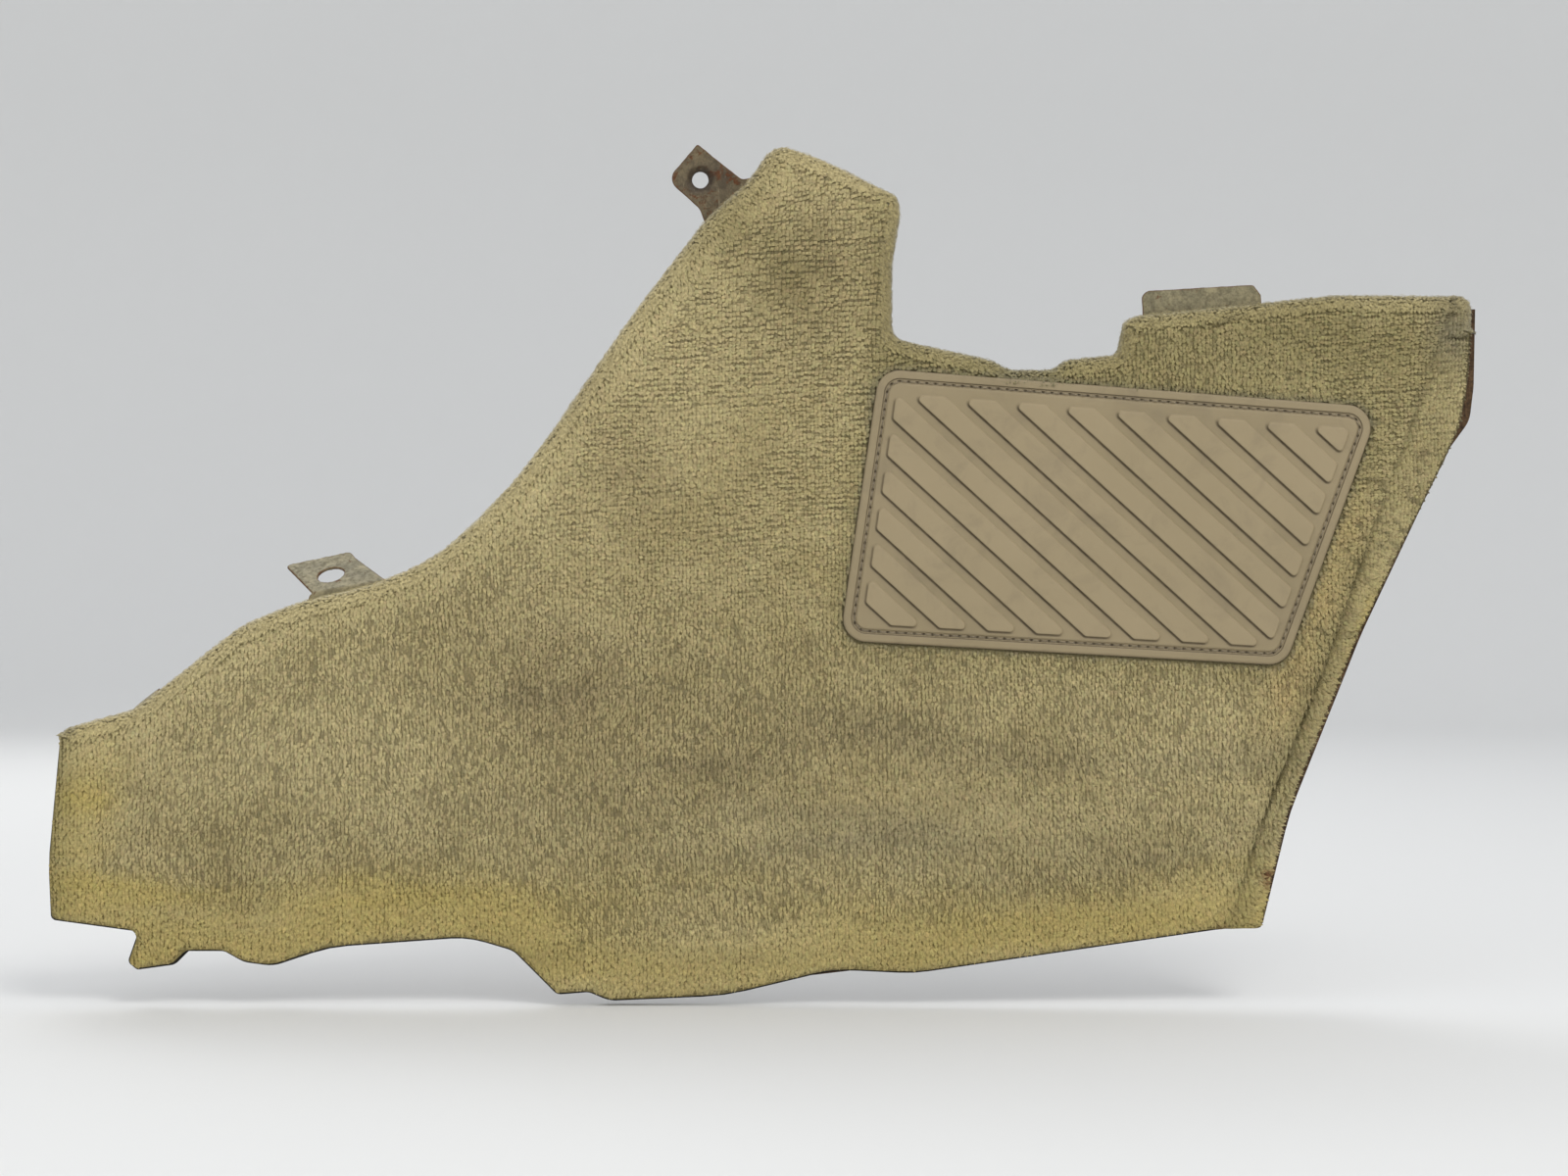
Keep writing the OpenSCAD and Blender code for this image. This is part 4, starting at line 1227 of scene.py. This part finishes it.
def old_paint(name, paint, shade, rust_at, stain_and_shade=None):
    """Sheet steel with a thin, dirty coat of paint, grime, scratches and rust.

    A dark ring of rust, with painted shade of the screw dimple, darkens the 7 mm round one point.
    """
    m = Shader(name, Specular_IOR_Level=0.4)
    cloud = m.noise(130, 5, 0.62)
    grime = m.ramp(m.noise(520, 6, 0.7), (0.42, 0.0), (0.66, 1.0))
    base = m.over(paint, shade, cloud, 0.34, 0.66)
    base = m.mix(m.times(grime, 0.55), base, srgb(70, 62, 46))
    lift = m.noise(210, 6, 0.72, distort=0.5)
    rim = m.add("ShaderNodeNewGeometry").outputs["Pointiness"]
    bare = m.times(m.ramp(rim, (0.515, 0.0), (0.545, 1.0)), m.ramp(cloud, (0.3, 0.5), (0.6, 1.0)))
    rusty = m.math("MAXIMUM", m.ramp(lift, (rust_at, 0.0), (rust_at + 0.07, 1.0)), bare)
    rust = m.mix(m.noise(900, 4), srgb(64, 40, 26), srgb(116, 74, 44))
    color = m.mix(rusty, base, rust)
    # Rust with painted shade of the screw dimple round one point
    if stain_and_shade is not None:
        away = m.add("ShaderNodeVectorMath", Vector=m.place)
        away.operation = "DISTANCE"
        away.inputs[1].default_value = stain_and_shade
        ragged = m.times(m.math("SUBTRACT", m.noise(700, 4), 0.5), 0.006)
        near = m.ramp(m.plus(away.outputs["Value"], ragged), (0.0050, 0.94), (0.0080, 0.0))
        color = m.mix(near, color, srgb(54, 42, 31))
    scratch = m.ramp(m.noise(160, 2, at=m.scaled(9, 9, 1, 0.6)), (0.66, 0.0), (0.72, 0.55))
    color = m.mix(scratch, color, srgb(150, 140, 116))
    rough = m.mix(rusty, m.ramp(grime, (0.0, 0.48), (1.0, 0.72)), (0.92, 0.92, 0.92))
    pit = m.plus(m.times(rusty, m.noise(1600)), m.times(cloud, 0.5))
    return m.done(color, rough, m.bump(pit, 0.6, 0.3), m.times(scratch, 0.6))


def fibreboard_material():
    m = Shader("pressed_fibre", Specular_IOR_Level=0.2)
    fibres = m.times(m.noise(900, 5, 0.7, at=m.scaled(0.35, 1, 1, 0.4)),
                     m.noise(700, 5, 0.7, at=m.scaled(1, 1, 0.3, -0.5)))
    color = m.over(srgb(58, 44, 32), srgb(112, 87, 62), fibres, 0.16, 0.36)
    color = m.over(color, srgb(62, 48, 36), m.noise(18, 4, 0.6), 0.42, 0.62, 0.7)
    lines = m.add("ShaderNodeTexWave", Vector=m.scaled(1, 0, 0), Scale=140)
    cross = m.add("ShaderNodeTexWave", Vector=m.scaled(0, 0, 1), Scale=140)
    cross.bands_direction = "Z"
    screen = m.times(lines.outputs["Fac"], cross.outputs["Fac"])
    height = m.plus(fibres, m.times(screen, 0.25))
    return m.done(color, m.ramp(fibres, (0.1, 0.78), (0.4, 0.95)), m.bump(height, 0.8, 0.5))


def bitumen_material():
    m = Shader("heavy_layer", Specular_IOR_Level=0.35)
    lump = m.noise(500, 4)
    color = m.over(srgb(20, 19, 18), srgb(48, 45, 40), lump, 0.35, 0.7)
    color = m.over(color, srgb(86, 80, 66), m.noise(90, 4), 0.5, 0.75, 0.4)
    return m.done(color, m.ramp(lump, (0.3, 0.6), (0.7, 0.85)), m.bump(lump, 0.7, 0.4))


def felt_material():
    m = Shader("needled_felt", Roughness=0.95, Sheen_Weight=0.4, Sheen_Roughness=0.6,
               Specular_IOR_Level=0.15)
    web = m.times(m.noise(1300, 4, 0.65, at=m.scaled(0.3, 1, 1, 0.6)),
                  m.noise(1300, 4, 0.65, at=m.scaled(1, 1, 0.3, 0.3)))
    color = m.over(srgb(58, 57, 56), srgb(116, 113, 108), web, 0.14, 0.38)
    thin = m.mix(1.0, color, srgb(176, 172, 166), "MULTIPLY")
    color = m.over(thin, color, m.noise(230, 4, 0.6), 0.36, 0.62)
    color = m.over(color, srgb(138, 132, 122), m.noise(120), 0.54, 0.66, 0.5)
    color = m.over(color, srgb(92, 84, 70), m.noise(30, 4), 0.4, 0.7, 0.5)
    bits = m.ramp(m.cells(420), (0.0, 1.0), (0.10, 0.0))
    color = m.mix(bits, color, srgb(138, 104, 74))
    return m.done(color, m.ramp(web, (0.1, 0.88), (0.4, 1.0)), m.bump(web, 0.9, 0.6))


def fibre_material():
    m = Shader("loose_fibre", Roughness=0.9, Sheen_Weight=0.4, Specular_IOR_Level=0.2)
    n = m.noise(2600, 2)
    return m.done(m.shaded(m.tint(), n, (0.3, 0.75), (0.7, 1.2)),
                  m.ramp(n, (0.2, 0.82), (0.8, 0.96)), m.bump(n, 0.3, 0.05))


def wire_material(name, light, dark, rust):
    """Drawn steel wire with spots of rust, the more of them the lower rust is."""
    m = Shader(name, Specular_IOR_Level=0.5)
    streak = m.noise(1300, at=m.scaled(1, 1, 0.25))
    spots = m.ramp(m.noise(420, 5, 0.7), (rust, 0.0), (rust + 0.1, 1.0))
    color = m.mix(spots, m.mix(streak, dark, light), srgb(92, 54, 32))
    rough = m.mix(spots, m.ramp(streak, (0.3, 0.34), (0.7, 0.52)), (0.9, 0.9, 0.9))
    metal = m.math("SUBTRACT", 0.9, m.times(spots, 0.85))
    return m.done(color, rough, m.bump(m.plus(streak, spots), 0.4, 0.08), metal)


MATS = {
    "pile": pile_material(), "backing": backing_material(), "vinyl": vinyl_material(),
    "thread": thread_material(), "board": fibreboard_material(), "heavy": bitumen_material(),
    "felt": felt_material(), "fibre": fibre_material(),
    "tab": old_paint("olive_paint", srgb(156, 146, 112), srgb(125, 118, 91), 0.60),
    "upper": old_paint("olive_paint_rusted_and_shaded", srgb(118, 104, 76), srgb(76, 64, 46), 0.52,
                       stain_and_shade=(0, 0, 0)),
    "zinc": wire_material("dull_zinc", srgb(176, 174, 168), srgb(120, 118, 112), 0.6),
    "steel": wire_material("dull_steel", srgb(138, 134, 126), srgb(92, 88, 82), 0.55),
    "rusted": wire_material("rusted_wire", srgb(84, 56, 38), srgb(58, 38, 26), 0.3),
}


# ---- the build ---------------------------------------------------------------------------

carpet()
stitches = resampled(rounded(inset(PAD_BASE, STITCH_INSET), 4), STITCH_PITCH)
pad_moulding(stitches)
pad_stitches(stitches)
for i, part in enumerate(("main", "tail", "front")):
    felt_pad(part + "_felt", "felt_" + part, 201 + 10 * i)
for i, (part, shape, paint) in enumerate((("upper", "strap", "upper"), ("lower", "bracket", "tab"),
                                          ("front", "tongue", "tab"), ("rear", "tongue", "tab"))):
    worn_steel(f"{part}_tab", f"{part}_{shape}", paint, 301 + 10 * i)
    dress_node(part + "_tab_rivets", "steel")
    dress_node(part + "_tab_washers", "steel")
bent_wire("hem_staples", "hem_staple_wires", "zinc", "staple_wire")
bent_wire("edge_staple", "edge_staple_wire", "rusted", "rusty_wire")
dress_node("backing_board", "board")
dress_node("heavy_layer", "heavy")
dress_node("heel_pad_bobbin_thread", "thread")


# ---- stage, light and camera ---------------------------------------------------------

def stage():
    """A round pale floor that curves up into a low wall, well outside every camera."""
    floor_z = CAD_BOX[0].z - 0.0015
    reach, bend_r, wall, sectors = 3.4, 0.9, 2.4, 72
    rows = [(0.4, floor_z), (1.5, floor_z), (reach - bend_r, floor_z)]
    rows += [(reach - bend_r + bend_r * math.sin(t), floor_z + bend_r * (1 - math.cos(t)))
             for t in np.linspace(0.1, math.pi / 2, 14)]
    rows.append((reach, floor_z + wall))
    turns = [TAU * j / sectors for j in range(sectors)]
    verts = [(0, 0, floor_z)] + [(r * math.cos(t), r * math.sin(t), z)
                                 for r, z in rows for t in turns]
    faces = [(0, 1 + j, 1 + (j + 1) % sectors) for j in range(sectors)]
    for i in range(1, 1 + (len(rows) - 1) * sectors, sectors):
        for j in range(sectors):
            k = (j + 1) % sectors
            faces.append((i + j, i + sectors + j, i + sectors + k, i + k))
    mesh = bpy.data.meshes.new("studio")
    mesh.from_pydata(verts, [], faces)
    mesh.shade_smooth()
    m = Shader("studio_paper", Roughness=0.85, Specular_IOR_Level=0.1)
    mesh.materials.append(m.done(srgb(228, 228, 226)))
    linked("studio", mesh)


MIDDLE = Vector((0.03, 0.0, -0.16))


def area_light(name, at, size, power, color=(1, 1, 1)):
    """A square light that faces the panel's middle."""
    data = bpy.data.lights.new(name, "AREA")
    data.shape, data.size, data.energy, data.color = "SQUARE", size, power, color
    obj = linked(name, data)
    obj.location = at
    obj.rotation_mode = "QUATERNION"
    obj.rotation_quaternion = (MIDDLE - Vector(at)).to_track_quat("-Z", "Y")


def camera():
    """A camera square on to the panel, which frames a given width of the carpet's face."""
    frame_w, frame_x, frame_z = 0.6275, 0.0339, -0.1649
    lens, sensor = 70.0, 36.0
    obj = linked("camera", bpy.data.cameras.new("camera"))
    obj.data.lens, obj.data.sensor_width = lens, sensor
    obj.data.clip_start, obj.data.clip_end = 0.05, 30
    obj.location = (frame_x, Y_PILE * MM - frame_w * lens / sensor, frame_z)
    obj.rotation_euler = (math.pi / 2, 0, 0)
    bpy.context.scene.camera = obj


def air():
    """Even light from all round."""
    world = bpy.data.worlds.new("studio_air")
    world.use_nodes = True
    background = world.node_tree.nodes["Background"].inputs
    background["Color"].default_value = (0.93, 0.95, 1.0, 1)
    background["Strength"].default_value = 0.86
    bpy.context.scene.world = world
    bpy.context.scene.view_settings.view_transform = "Standard"


stage()
area_light("key", (0.75, -1.45, 1.35), size=0.9, power=17, color=(1.0, 0.99, 0.97))
area_light("fill", (-0.9, -1.6, 0.7), size=1.4, power=3, color=(0.96, 0.98, 1.0))
area_light("rear", (-0.8, 1.5, 1.1), size=1.2, power=10)
air()
camera()

bpy.context.view_layer.update()
